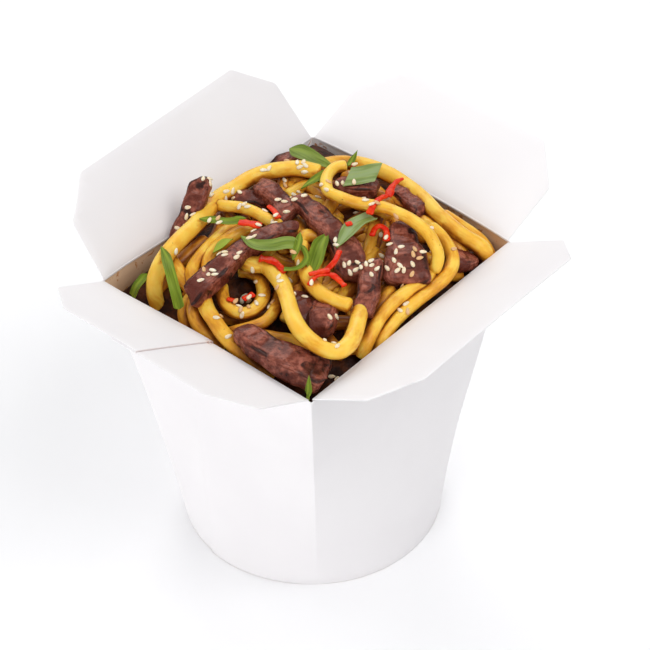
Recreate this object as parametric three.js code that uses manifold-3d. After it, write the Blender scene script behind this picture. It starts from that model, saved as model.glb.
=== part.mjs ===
// Noodle takeaway box: a round-based paperboard box with four open flaps, filled with
// thick noodles, beef strips, spring onion, chilli and sesame.
// Millimetres, +Z up. The origin is the middle of the round base, on its underside.
import * as THREE from "three";
import { mergeVertices } from "three/addons/utils/BufferGeometryUtils.js";
import Module from "manifold-3d";

const wasm = await Module();
wasm.setup();

// ---- driving dimensions of the box ----
const HEIGHT = 104;
const TOP_X = 85;
const TOP_Y = 99;
const BASE_RADIUS = 44;
const BOARD = 0.5;
const GAP = 0.3;
// Direction of the +X+Y crease where it meets the round base, seen from above.
const CREASE_ANGLE = THREE.MathUtils.degToRad(47);
const WALL_ROWS = 6;
const SIDE_STEPS = 8;
// The board's two ends overlap in the -Y wall, between these fractions of its width.
const LAP_START = 0.4;
const LAP_END = 0.52;

// ---- the four flaps: tilt from upright, depth, straight side edge ----
const FLAP_CHAMFER = 13.6;
const FLAP_SIDE_INSET = 1;
const LONG_HINGE = { width: TOP_Y, reach: TOP_X / 2 };
const SHORT_HINGE = { width: TOP_X, reach: TOP_Y / 2 };
const FLAPS = [
  { name: "flap_left", turn: 180, ...LONG_HINGE, tilt: 46.4, depth: 34.2, side: 21.9 },
  { name: "flap_back", turn: 90, ...SHORT_HINGE, tilt: 68.3, depth: 37, side: 23 },
  { name: "flap_front", turn: -90, ...SHORT_HINGE, tilt: 60.9, depth: 38, side: 25.6, lapped: true },
  { name: "flap_right", turn: 0, ...LONG_HINGE, tilt: 59.2, depth: 39, side: 25 },
];

// ---- the food ----
const FOOD_TO_WALL = 0.8;
const CLEARANCE = 0.35;
const NOODLE_STEP = 7;
const LOWER_NOODLE_SIDES = 5;
const UPPER_NOODLE_SIDES = 6;
const NOODLE_RADIUS = 2.7;
// The last section of a noodle or a shred is this much of its full size.
const ROUNDED_END = 0.6;

// Each route is a short list of points: x, y, and the height above the rim.
const LOWER_NOODLES = [
  { route: [[-31, -40, -4], [-31, -33, 0], [-31, -25, 2], [-30, -17, 4]] },
  { route: [[-20, -30, 1], [-18, -37, 0], [-16, -43, -2], [-12, -45, -7]] },
  { route: [[-16, -38, 0], [-9, -42, -1], [-3, -44, -3], [5, -45, -7]] },
  { route: [[-36, -27, 4], [-29, -32, 3], [-22, -35, 1], [-16, -38, -1]] },
  { route: [[-23, -31, 5], [-26, -22, 6], [-27, -13, 6], [-27, -4, 5]] },
  { route: [[-22, -28, 6], [-23, -14, 7], [-22, -6, 7], [-22, 1, 6]] },
  { route: [[-29, 23, 6], [-25, 34, 6], [-21, 41, 5], [-14, 45, 3]] },
  { route: [[-23, 14, 6], [-22, 22, 6], [-17, 24, 6], [-9, 26, 6]] },
  { route: [[-5, 13, 6], [-8, 19, 8], [-9, 24, 9]] },
  { route: [[-17, 9, 5], [-9, 5, 5], [-3, -1, 4], [3, -7, 3], [6, -14, 2]] },
  { route: [[1, 4, 8], [-3, 0, 9], [-1, -7, 8]], radius: 2.5 },
  { route: [[3, 32, 5], [7, 21, 5], [11, 14, 4], [15, 6, 3]] },
  { route: [[-2, 24, 8.5], [6, 25, 10], [12, 26, 9]] },
  { route: [[16, 45, 1], [25, 45, 0], [31, 45, -1], [37, 44, -4]] },
  { route: [[18, 34, 3], [26, 35, 3], [32, 34, 1], [36, 34, 0]] },
  { route: [[32, 22, 0], [37, 25, -1], [38, 29, -3]], radius: 2.4 },
  { route: [[8, -37, -1], [15, -34, -1], [19, -32, -1], [26, -31, -2]], radius: 2.4 },
  { route: [[9, -16, 5], [11, -21, 4], [13, -28, 1]], radius: 2.4 },
  { route: [[35, -22, -3], [30, -13, -1], [27, -2, 0], [26, 6, 1]] },
  { route: [[0, -45, -3], [5, -40, 1], [8, -36, 2], [8, -29, 2], [5, -23, 2], [1, -15, 1]] },
  { route: [[33, 16, 3], [30, 2, 0.5], [32, -9, -2], [38, -19, -5]] },
];
const UPPER_NOODLES = [
  { route: [[-15, -33, 3], [-8, -41, 4], [-1, -44.5, 4], [6, -46, 2], [14, -46, 0], [20, -46, -4]] },
  {
    route: [[-15, -23, 3], [-9, -18, 3], [-3, -21, 3], [1, -26, 3], [2, -31, 3], [-3, -36, 3],
      [-8, -34, 3], [-12, -29, 3]],
    radius: 2.5,
  },
  { route: [[-36, -12, 7], [-32, -6, 9], [-25, -6, 11], [-15, -2, 11], [-9, -1, 11]], radius: 1.9 },
  {
    route: [[26, 34, 7.5], [33, 28, 7], [38, 24, 5], [39, 15, 1], [39, 3, 0], [39, -6, 0],
      [38.5, -13, -2]],
  },
  {
    route: [[-18, 39, 5], [-13, 43, 5], [-3, 45.5, 5], [4, 46, 5], [11, 44, 5], [18, 41, 5],
      [25, 39, 5], [31, 38, 4], [38, 39, 2]],
    radius: 2.9,
  },
  { route: [[38, 18, 3], [37, 5, 3], [36, -3, 3], [37, -9, 2], [38.5, -15, 1], [39, -21, -1]] },
  {
    route: [[-11, -18, 6], [-7, -17, 8], [-1, -19, 8], [5, -21, 8], [11, -26, 9], [17, -31, 9],
      [24, -34, 9], [30, -36, 8], [36, -34, 7], [39, -29, 7], [38, -23, 7], [33, -17, 7],
      [27, -8, 5]],
  },
  {
    route: [[1, -5, 11], [6, -10, 10], [11, -14, 9], [17, -17, 9], [22, -16, 8], [29, -16, 8]],
    radius: 2.6,
  },
  {
    route: [[-13, 32, 12], [-14, 28, 12], [-11, 22, 13], [-5, 19, 14], [4, 22, 14], [16, 24, 13.5],
      [23, 24, 13], [30, 22, 12], [35, 19, 9], [38, 14, 4]],
    radius: 2.2,
  },
  {
    route: [[-20, 30, 9.5], [-24, 23, 10], [-34, 17, 10], [-37.5, 9, 10], [-38, -2, 9],
      [-35, -12, 9], [-33, -19, 9], [-32, -28, 9], [-31, -36, 7], [-28, -43, 2], [-27, -44, -6]],
    radius: 2.9,
  },
];

// Strips of beef: width, thickness and route.
const BEEF_STEP = 5.5;
const BEEF_SIDES = 8;
const BEEF_SQUARENESS = 0.7;
const BEEF_END = 0.72;
const BEEF = [
  { width: 8, height: 5, route: [[33, 26, 3], [37, 31, 1], [38, 36, -2]] },
  { width: 7, height: 5, route: [[-12, 24, 10], [-5, 28, 10], [-1, 35, 9]] },
  { width: 6, height: 5, route: [[-1, 40, 4], [7, 39, 5], [17, 34, 6]] },
  { width: 7, height: 5, route: [[-38, 25, 3], [-38, 30, 4], [-35, 36, 3]] },
  { width: 8, height: 6, route: [[11, -19, 5], [17, -23, 4.5], [22, -27, 3]] },
  { width: 9, height: 7, route: [[19, -15, 4], [23, -21, 4], [27, -28, 3]] },
  { width: 5.4, height: 4.5, route: [[-38, -23, 1], [-38.2, -17, 6], [-38.4, -12, 11], [-38.5, -7, 17]] },
  { width: 7, height: 4.5, route: [[-33, -1, 6], [-31, 4, 7.5], [-27, 5, 8.5], [-22, 3, 9]] },
  { width: 8, height: 5, route: [[-31, 10, 9], [-25, 9, 10.5], [-18, 6, 11], [-11, 3, 10]] },
  { width: 14, height: 4.5, route: [[15, 27, 7], [20, 24, 7], [28, 16, 6], [34, 9, 4], [36, 6, 1]] },
  {
    width: 9,
    height: 5,
    route: [[-15, 10, 12.5], [-8, 11, 11.5], [-2, 10, 10.5], [3, 8, 9.5], [14, 2, 8], [19, -4, 6]],
  },
  { width: 7, height: 5, route: [[20, 5, 8], [27, -2, 7], [31, -7, 5.5], [34, -15, 3]] },
  { width: 10.5, height: 6, route: [[7, -43, 3], [16, -43, 3.5], [31, -42, 3.5], [40, -37, 2]] },
  {
    width: 7.5,
    height: 6,
    route: [[-11, -45, 8], [-12, -37, 9], [-12.5, -25, 10], [-12, -14, 12], [-9, -8, 13], [-4, -1, 13]],
  },
];

// Cuts of spring onion: width, how far the leaf cups across, its ends and route.
const LEAF_THICKNESS = 0.9;
const LEAF_ACROSS = 2;
const LEAF_STEP = 4;
const LEAF_WAVE = 0.25;
const ONION = [
  { width: 5.4, cup: 1, ends: "pointed", route: [[-39, 34, 8], [-33, 34, 8.5], [-25, 32, 10], [-18, 33, 9.5]] },
  { width: 3, cup: 0.5, ends: "cut", route: [[-17, 16, 12], [-17, 21, 12], [-16, 26, 12]] },
  { width: 6, cup: 0.8, ends: "cut", route: [[-10, 29, 14.5], [-7, 32, 14.5], [-2, 37, 13.5]] },
  { width: 2.2, cup: 0.3, ends: "pointed", route: [[-18, 39, 8.5], [-18, 42, 9], [-19, 46, 10]] },
  { width: 5.6, cup: 1.6, ends: "pointed", route: [[9, 0, 12], [9, 9, 12.5], [10, 15, 12], [13, 21, 12]] },
  { width: 4.2, cup: 1, ends: "cut", route: [[2, 5, 13], [4, 0, 12.5], [6, -6, 12], [9, -12, 12]] },
  {
    width: 3,
    cup: 0.4,
    ends: "pointed",
    route: [[-34, -19, 12.5], [-29, -14, 12], [-25, -11, 13], [-20, -7, 13.5]],
  },
  { width: 4.2, cup: 0.8, ends: "cut", route: [[-16, -18, 15], [-9, -15, 15.5], [-3, -10, 16], [4, -8, 16]] },
  { width: 2.6, cup: 0.4, ends: "pointed", route: [[-1, -5, 17], [2, -9, 16], [5, -15, 14]] },
  { width: 3.4, cup: 0.5, ends: "pointed", route: [[-20, -25, 10.5], [-21, -20, 10.5], [-20, -15, 10.5]] },
  {
    width: 3.2,
    cup: 0.5,
    ends: "pointed",
    route: [[-33, -35, 11], [-27, -38, 12], [-21, -43, 11.5], [-12, -47, 7]],
  },
  { width: 3.8, cup: 0.6, ends: "cut", route: [[-35.5, -45, -3], [-35, -43.5, 1], [-35, -40, 5]] },
  { width: 2.8, cup: 0.4, ends: "pointed", route: [[39, -46, -1], [38, -45.5, 2], [35, -43, 7.5]] },
  {
    width: 2,
    cup: 0.2,
    ends: "cut",
    route: [[2, -11, 14.5], [5, -11, 14.5], [7.5, -13, 13.5], [7, -17, 13], [4, -18.5, 13]],
  },
];

// Shreds and rings of red chilli: width and route.
const CHILLI_THICKNESS = 1.3;
const CHILLI_STEP = 3.2;
const CHILLI_SIDES = 5;
const CHILLI = [
  { width: 2.4, route: [[-22, -11, 13.5], [-19, -9, 13.5], [-15, -7, 13.5]] },
  { width: 2, route: [[-19, 1, 13.5], [-16, -1, 13.8], [-12, -3, 14]] },
  { width: 3, route: [[-6, -18, 11.5], [-2, -18, 11.6], [2, -19.5, 11.6], [6, -21.5, 11.6]] },
  { width: 2, route: [[-9, -31.5, 6], [-7, -31, 6]] },
  { width: 2, route: [[-4, -24.5, 6], [-2.5, -24, 6]] },
  { width: 2.2, route: [[2, 43, 9], [1, 40, 9], [3, 37, 9.5], [6, 34, 9.8]] },
  { width: 2.2, route: [[7, 30, 14.5], [6, 26, 14.8], [7, 22, 16.5], [8, 18, 15]] },
  { width: 2, route: [[13, 13, 11], [12, 17, 10.5], [14, 19, 10.5], [17, 17, 10.5], [18, 13, 10]] },
  { width: 2, route: [[3, 10, 13.8], [3, 14, 13.5]] },
  { width: 2, route: [[14, -9, 11], [14, -5, 12], [14, -3, 12.5], [12, 0, 13]] },
  {
    width: 2,
    route: [[16, -20, 12.5], [15, -15.5, 13], [16, -12, 13], [19, -11, 12.5], [24, -13, 12]],
  },
  { width: 2, route: [[12, -17, 13.5], [13.5, -12.5, 13.5], [16, -9.5, 13.5]] },
  { width: 1.8, route: [[-16, 37.5, 9], [-14.5, 39, 9]] },
];

// Sesame seeds lie in drifts: middle x, y, spread and count.
const SEED_SIZE = [2.8, 1.7, 1];
const SEED_SINK = 0.3;
const SEED_START = 7;
// Seeds slide off anything steeper than this upward part of its normal.
const SEED_STEEPEST = 0.5;
const SESAME = [
  { x: 27, y: 17, spread: 9, count: 18 },
  { x: -35, y: 8, spread: 12, count: 8 },
  { x: -26, y: 8, spread: 8, count: 6 },
  { x: -40, y: -12, spread: 5, count: 3 },
  { x: -12, y: -12, spread: 9, count: 10 },
  { x: -12, y: -33, spread: 8, count: 8 },
  { x: 0, y: -28, spread: 6, count: 6 },
  { x: 5, y: 12, spread: 12, count: 11 },
  { x: -10, y: 30, spread: 12, count: 8 },
  { x: 20, y: -18, spread: 13, count: 10 },
  { x: 12, y: 38, spread: 10, count: 4 },
  { x: 35, y: -10, spread: 10, count: 4 },
];

// ---- materials ----
function finish(color, roughness) {
  return new THREE.MeshStandardMaterial({ color, roughness, metalness: 0 });
}

const WHITE_BOARD = finish(0xf4f4f2, 0.6);
const NOODLE = finish(0xe0a838, 0.35);
const COOKED_BEEF = finish(0x6b3a30, 0.5);
const GREEN_ONION = finish(0x77a847, 0.45);
const RED_CHILLI = finish(0xd8281a, 0.35);

const box = new THREE.Group();

function addPiece(name, geometry, material) {
  const mesh = new THREE.Mesh(geometry, material.clone());
  mesh.name = name;
  box.add(mesh);
  return mesh;
}

function numbered(name, index) {
  return `${name}_${String(index + 1).padStart(2, "0")}`;
}

// ---- surfaces made of rings of points ----
function geometryFrom(vertices, triangles) {
  const geometry = new THREE.BufferGeometry();
  geometry.setAttribute("position", new THREE.Float32BufferAttribute(vertices.flat(), 3));
  geometry.setIndex(triangles.flat());
  return geometry;
}

// The quads between two rings, each split along the same diagonal.
function band(count, first, second) {
  const triangles = [];
  for (let j = 0; j < count; j += 1) {
    const next = (j + 1) % count;
    triangles.push([first + j, first + next, second + next]);
    triangles.push([first + j, second + next, second + j]);
  }
  return triangles;
}

function middleOf(ring) {
  return [0, 1, 2].map((k) => ring.reduce((sum, point) => sum + point[k], 0) / ring.length);
}

// A solid through a row of rings, closed at each end by a fan round a middle point.
function loft(rings, middles = [middleOf(rings[0]), middleOf(rings[rings.length - 1])]) {
  const count = rings[0].length;
  const vertices = rings.flat();
  const triangles = [];
  for (let i = 0; i + 1 < rings.length; i += 1) {
    triangles.push(...band(count, i * count, (i + 1) * count));
  }
  const start = vertices.length;
  vertices.push(...middles);
  const last = (rings.length - 1) * count;
  for (let j = 0; j < count; j += 1) {
    const next = (j + 1) % count;
    triangles.push([start, next, j], [start + 1, last + j, last + next]);
  }
  return geometryFrom(vertices, triangles);
}

// A closed skin round a hole: every ring joins the next and the last joins the first.
function loopedLoft(rings) {
  const count = rings[0].length;
  const triangles = rings.flatMap((ring, i) =>
    band(count, i * count, ((i + 1) % rings.length) * count));
  return geometryFrom(rings.flat(), triangles);
}

// ---- joins and cuts ----
function toSolid(geometry) {
  geometry.deleteAttribute("normal");
  geometry.deleteAttribute("uv");
  const merged = mergeVertices(geometry, 1e-4);
  return new wasm.Manifold(new wasm.Mesh({
    numProp: 3,
    vertProperties: new Float32Array(merged.attributes.position.array),
    triVerts: new Uint32Array(merged.index.array),
  }));
}

function toGeometry(solid) {
  const mesh = solid.getMesh();
  const geometry = new THREE.BufferGeometry();
  geometry.setAttribute("position", new THREE.BufferAttribute(mesh.vertProperties, 3));
  geometry.setIndex(new THREE.BufferAttribute(mesh.triVerts, 1));
  return geometry;
}

function largestPiece(solid) {
  return solid.decompose().sort((a, b) => b.volume() - a.volume())[0];
}

function boxesMeet(a, b) {
  const [p, q] = [a.boundingBox(), b.boundingBox()];
  return [0, 1, 2].every((k) => p.min[k] < q.max[k] && q.min[k] < p.max[k]);
}

function cutClear(solid, spaces) {
  const near = spaces.filter((space) => boxesMeet(solid, space));
  return near.reduce((rest, space) => rest.subtract(space), solid);
}

// ---- the board wall: a round base ruled to a rectangular rim ----
// The four creases run from the rim's corners down to the base and fade out there.
const CORNERS = [
  { x: 1, y: 1, angle: CREASE_ANGLE },
  { x: -1, y: 1, angle: Math.PI - CREASE_ANGLE },
  { x: -1, y: -1, angle: Math.PI + CREASE_ANGLE },
  { x: 1, y: -1, angle: 2 * Math.PI - CREASE_ANGLE },
];
const FRONT_SIDE = 2;

function wallPoint(side, fraction, z, inset) {
  const from = CORNERS[side];
  const to = CORNERS[(side + 1) % 4];
  const endAngle = to.angle < from.angle ? to.angle + 2 * Math.PI : to.angle;
  const angle = THREE.MathUtils.lerp(from.angle, endAngle, fraction);
  const up = z / HEIGHT;
  const radius = BASE_RADIUS - inset;
  const topX = THREE.MathUtils.lerp(from.x, to.x, fraction) * (TOP_X / 2 - inset);
  const topY = THREE.MathUtils.lerp(from.y, to.y, fraction) * (TOP_Y / 2 - inset);
  return [
    THREE.MathUtils.lerp(radius * Math.cos(angle), topX, up),
    THREE.MathUtils.lerp(radius * Math.sin(angle), topY, up),
    z,
  ];
}

// How far the overlapping board end lifts a face of the wall outwards. It starts at a
// sharp step and is taken up again by the next crease.
function lapLift(side, fraction, step) {
  if (side !== FRONT_SIDE || fraction <= step) return 0;
  return BOARD * Math.min(1, (1 - fraction) / (1 - LAP_END));
}

function wallStations() {
  const stations = [];
  for (let side = 0; side < 4; side += 1) {
    for (let i = 0; i < SIDE_STEPS; i += 1) stations.push([side, i / SIDE_STEPS]);
    if (side === FRONT_SIDE) {
      for (const step of [LAP_START, LAP_END]) stations.push([side, step], [side, step + 0.002]);
    }
  }
  return stations.sort((a, b) => a[0] - b[0] || a[1] - b[1]);
}

function cartonWall() {
  const stations = wallStations();
  const ring = (z, depth, step) => stations.map(([side, fraction]) =>
    wallPoint(side, fraction, z, depth - lapLift(side, fraction, step)));
  const heights = [];
  for (let i = 0; i <= WALL_ROWS; i += 1) heights.push((i / WALL_ROWS) * (HEIGHT - GAP));
  const outside = heights.map((z) => ring(z, 0, LAP_START));
  const inside = heights.map((z) => ring(z, BOARD, LAP_END)).reverse();
  return loopedLoft([...outside, ...inside]);
}

function baseDisc() {
  const radius = BASE_RADIUS - BOARD - GAP;
  const profile = [[0, 0], [radius, 0], [radius, BOARD], [0, BOARD]];
  const disc = new THREE.LatheGeometry(profile.map(([x, y]) => new THREE.Vector2(x, y)), 4 * SIDE_STEPS);
  return disc.rotateX(Math.PI / 2);
}

// ---- the flaps: flat panels that swing on the rim ----
// An outline in the panel's own plane: u runs along the hinge, v away from it. From and
// to are fractions of the hinge, so that one board end can be drawn by itself.
function flapOutline(flap, from, to) {
  const half = flap.width / 2 - FLAP_SIDE_INSET;
  const corner = flap.width / 2 - FLAP_CHAMFER;
  const edge = (u) => {
    const past = Math.max(0, (Math.abs(u) - corner) / (half - corner));
    return THREE.MathUtils.lerp(flap.depth, flap.side, past);
  };
  const start = Math.min(half, flap.width / 2 - from * flap.width);
  const end = Math.max(-half, flap.width / 2 - to * flap.width);
  const across = [start, corner, -corner, end].filter((u) => u <= start && u >= end);
  return new THREE.Shape([
    new THREE.Vector2(end, GAP),
    new THREE.Vector2(start, GAP),
    ...across.map((u) => new THREE.Vector2(u, edge(u))),
  ]);
}

function board(flap, from, to, layer) {
  const sheet = new THREE.ExtrudeGeometry(flapOutline(flap, from, to), {
    depth: BOARD,
    bevelEnabled: false,
  });
  return sheet.translate(0, 0, layer * BOARD);
}

// The front flap is both ends of the board, one glued on the other.
function flapPanel(flap) {
  if (!flap.lapped) return board(flap, 0, 1, 0);
  const inner = toSolid(board(flap, 0, LAP_END, 1));
  const outer = toSolid(board(flap, LAP_START, 1, 0));
  return toGeometry(inner.add(outer));
}

// Stands the panel upright with its outer face on the hinge line, then leans it out.
function addFlap(flap) {
  const upright = new THREE.Matrix4().makeBasis(
    new THREE.Vector3(0, -1, 0),
    new THREE.Vector3(0, 0, 1),
    new THREE.Vector3(-1, 0, 0),
  );
  const hinge = new THREE.Group();
  hinge.position.set(flap.reach + (flap.lapped ? BOARD : 0), 0, HEIGHT);
  hinge.rotation.y = THREE.MathUtils.degToRad(flap.tilt);
  const side = new THREE.Group();
  side.rotation.z = THREE.MathUtils.degToRad(flap.turn);
  const mesh = addPiece(flap.name, flapPanel(flap), WHITE_BOARD);
  mesh.quaternion.setFromRotationMatrix(upright);
  side.add(hinge.add(mesh));
  box.add(side);
}

// ---- sweeps along a route ----
function stationsAlong(route, step, roundEnd) {
  const points = route.map(([x, y, lift]) => new THREE.Vector3(x, y, HEIGHT + lift));
  if (points.length === 2) points.splice(1, 0, points[0].clone().lerp(points[1], 0.5));
  const curve = new THREE.CatmullRomCurve3(points, false, "catmullrom", 0.5);
  const length = curve.getLength();
  const count = Math.max(2, Math.round((length - 2 * roundEnd) / step));
  const places = [0];
  for (let i = 0; i <= count; i += 1) {
    places.push((roundEnd + (i / count) * (length - 2 * roundEnd)) / length);
  }
  places.push(1);
  return places.map((u) => {
    const forward = curve.getTangentAt(u);
    const side = new THREE.Vector3(0, 0, 1).cross(forward).normalize();
    return { u, point: curve.getPointAt(u), forward, side, up: forward.clone().cross(side) };
  });
}

// Places section points (sideways, upwards) at each station, and lengthens both ends by
// spare, which a clearance body needs.
function sweep(stations, section, spare = 0) {
  const last = stations.length - 1;
  const middles = stations.map((station, i) => {
    const slide = i === 0 ? -spare : i === last ? spare : 0;
    return station.point.clone().addScaledVector(station.forward, slide);
  });
  const rings = stations.map((station, i) =>
    section(station.u, i === 0 || i === last).map(([a, b]) =>
      middles[i].clone().addScaledVector(station.side, a).addScaledVector(station.up, b).toArray()));
  return loft(rings, [middles[0].toArray(), middles[last].toArray()]);
}

function roundSection(sides, width, height, squareness = 1) {
  const bend = (value) => Math.sign(value) * Math.abs(value) ** squareness;
  return Array.from({ length: sides }, (_, i) => {
    const angle = (2 * Math.PI * i) / sides;
    return [(width / 2) * bend(Math.cos(angle)), (height / 2) * bend(Math.sin(angle))];
  });
}

function noodleBody({ route, radius = NOODLE_RADIUS }, sides) {
  const stations = stationsAlong(route, NOODLE_STEP, ROUNDED_END * radius);
  return sweep(stations, (u, isEnd) => {
    const size = 2 * radius * (isEnd ? ROUNDED_END : 1);
    return roundSection(sides, size, size);
  });
}

// A hand-cut strip: squarish, uneven along its length, blunt at both ends.
function beefBody({ width, height, route }, index, grow = 0) {
  const stations = stationsAlong(route, BEEF_STEP, 1);
  return sweep(stations, (u, isEnd) => {
    const uneven = 1 + 0.1 * Math.sin(9 * u + 2.3 * index) + 0.06 * Math.sin(23 * u + index);
    const end = isEnd ? BEEF_END : 1;
    const across = width * uneven * end + 2 * grow;
    const thick = (height / uneven) * end + 2 * grow;
    return roundSection(BEEF_SIDES, across, thick, BEEF_SQUARENESS);
  }, grow);
}

// A thin leaf with the same points on both faces, cupped across and wavy along.
function leafBody({ width, cup, ends, route }, index, grow = 0) {
  const stations = stationsAlong(route, LEAF_STEP, 0.8);
  return sweep(stations, (u, isEnd) => {
    const belly = ends === "pointed" ? Math.sin(Math.PI * (0.06 + 0.88 * u)) ** 0.7 : 1;
    const half = (width / 2) * belly * (isEnd ? 0.75 : 1) + grow;
    const face = (direction) => Array.from({ length: LEAF_ACROSS + 1 }, (_, i) => {
      const across = 1 - (2 * i) / LEAF_ACROSS;
      const wave = LEAF_WAVE * Math.sin(7 * u + index + across);
      const thickness = LEAF_THICKNESS * (1 - 0.5 * across ** 2) / 2 + grow;
      return [half * across, cup * belly * across ** 2 + wave + direction * thickness];
    });
    return [...face(1), ...face(-1).reverse()];
  }, grow);
}

function chilliBody({ width, route }, index, grow = 0) {
  const stations = stationsAlong(route, CHILLI_STEP, 0.5);
  return sweep(stations, (u, isEnd) => {
    const end = isEnd ? ROUNDED_END : 1;
    return roundSection(CHILLI_SIDES, width * end + 2 * grow, CHILLI_THICKNESS * end + 2 * grow);
  }, grow);
}

// ---- the core below the noodles ----
// A mound that fills the box, a little higher towards the back left corner, with a
// well inside the one noodle that lies in a ring.
function coreTop(x, y) {
  const towardsX = Math.min(1, Math.abs(x) / 43) ** (x < 0 ? 8 : 4);
  const towardsY = Math.min(1, Math.abs(y) / 50) ** (y > 0 ? 6 : 4);
  const lean = 0.061 * y - 0.052 * x;
  const well = 6 * Math.exp(-((x + 6) ** 2 + (y + 27) ** 2) / 18);
  return HEIGHT - 6.5 + 8.5 * (1 - towardsX) * (1 - towardsY) + lean - well;
}

const CORE_STATIONS = Array.from({ length: 4 * SIDE_STEPS }, (_, i) =>
  [Math.floor(i / SIDE_STEPS), (i % SIDE_STEPS) / SIDE_STEPS]);

function wallRing(z, inset) {
  return CORE_STATIONS.map(([side, fraction]) => wallPoint(side, fraction, z, inset));
}

// Reaches past the walls, and is then cut to the room inside them.
function coreBody() {
  const outside = wallRing(HEIGHT, -1);
  const topRing = (scale) => outside.map(([x, y]) =>
    [x * scale, y * scale, coreTop(x * scale, y * scale)]);
  const foot = outside.map(([x, y]) => [x, y, 0]);
  return loft([foot, ...[1, 0.9, 0.76, 0.52, 0.26].map(topRing)]);
}

// The room that food may take: inside the walls, and straight up above them.
function foodRoom() {
  const inset = BOARD + FOOD_TO_WALL;
  const rings = [wallRing(BOARD + GAP, inset)];
  for (let i = 1; i <= WALL_ROWS; i += 1) rings.push(wallRing((i / WALL_ROWS) * HEIGHT, inset));
  const above = rings[WALL_ROWS].map(([x, y]) => [x, y, 1.5 * HEIGHT]);
  return loft([...rings, above]);
}

// ---- sesame ----
// A small repeatable source of numbers from 0 to 1.
function drawer(seed) {
  let state = seed;
  return () => {
    state = (state * 16807) % 2147483647;
    return state / 2147483647;
  };
}

// Height of the topmost piece under a point, and whose it is.
function topmost(pieces, x, y) {
  const ray = new THREE.Raycaster(new THREE.Vector3(x, y, 2 * HEIGHT), new THREE.Vector3(0, 0, -1));
  return ray.intersectObjects(pieces, false)[0];
}

function seedBody(hit, turn) {
  const [length, width, thickness] = SEED_SIZE;
  const seed = new THREE.SphereGeometry(0.5, 5, 2).scale(length, width, thickness);
  const normal = hit.face.normal.clone().normalize();
  const tilt = new THREE.Quaternion().setFromUnitVectors(new THREE.Vector3(0, 0, 1), normal);
  const place = hit.point.clone().addScaledVector(normal, thickness / 2 - SEED_SINK);
  return seed.rotateZ(turn).applyQuaternion(tilt).translate(place.x, place.y, place.z);
}

// ---- assembly ----
addPiece("carton", cartonWall(), WHITE_BOARD);
addPiece("base_disc", baseDisc(), WHITE_BOARD);
FLAPS.forEach(addFlap);

// What lies highest is kept whole, and what lies below is cut clear of it.
const room = toSolid(foodRoom());
const spaces = [];
function fitToppings(kind, rows, body, material) {
  const fitted = [];
  for (let index = rows.length - 1; index >= 0; index -= 1) {
    const whole = toSolid(body(rows[index], index)).intersect(room);
    const solid = largestPiece(cutClear(whole, spaces));
    fitted.push({ name: numbered(kind, index), kind, solid, material });
    spaces.push(toSolid(body(rows[index], index, CLEARANCE)));
  }
  return fitted.reverse();
}

const chilli = fitToppings("chilli", CHILLI, chilliBody, RED_CHILLI);
const onion = fitToppings("onion", ONION, leafBody, GREEN_ONION);
const beef = fitToppings("beef", BEEF, beefBody, COOKED_BEEF);

const strands = [
  ...LOWER_NOODLES.map((noodle) => noodleBody(noodle, LOWER_NOODLE_SIDES)),
  ...UPPER_NOODLES.map((noodle) => noodleBody(noodle, UPPER_NOODLE_SIDES)),
];
const fused = strands.reduce((sum, strand) => sum.add(toSolid(strand)), toSolid(coreBody()));
const noodles = largestPiece(cutClear(fused.intersect(room), spaces));
const heap = { name: "noodles", kind: "noodles", solid: noodles, material: NOODLE };
const food = [heap, ...beef, ...onion, ...chilli];

// Seeds that land on noodles or beef are fused to them, where no other piece is near.
const targets = food.map((piece) => {
  const mesh = new THREE.Mesh(toGeometry(piece.solid), new THREE.MeshBasicMaterial());
  mesh.userData.piece = piece;
  return mesh;
});
const draw = drawer(SEED_START);
for (const drift of SESAME) {
  for (let i = 0; i < drift.count; i += 1) {
    const x = drift.x + drift.spread * (draw() + draw() - 1);
    const y = drift.y + drift.spread * (draw() + draw() - 1);
    const turn = Math.PI * draw();
    const hit = topmost(targets, x, y);
    const holder = hit && hit.object.userData.piece;
    if (!holder || !["noodles", "beef"].includes(holder.kind)) continue;
    if (hit.face.normal.z < SEED_STEEPEST) continue;
    const seed = toSolid(seedBody(hit, turn));
    const others = food.filter((piece) => piece !== holder && boxesMeet(piece.solid, seed));
    const clear = others.every((piece) => piece.solid.intersect(seed).volume() === 0);
    if (clear) holder.solid = holder.solid.add(seed);
  }
}

for (const piece of food) addPiece(piece.name, toGeometry(piece.solid), piece.material);

export default box;
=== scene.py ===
# Noodle takeaway box: a round-based paperboard box with four open flaps, heaped with thick
# yellow noodles, strips of beef, spring onion, red chilli and sesame. Sizes are in
# millimetres until they are placed, x and y are measured from the middle of the box, and
# the heights of the food are measured from the rim.
import math
import random

import bmesh
import bpy
from mathutils import Matrix, Vector, geometry, noise
from mathutils.bvhtree import BVHTree


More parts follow.
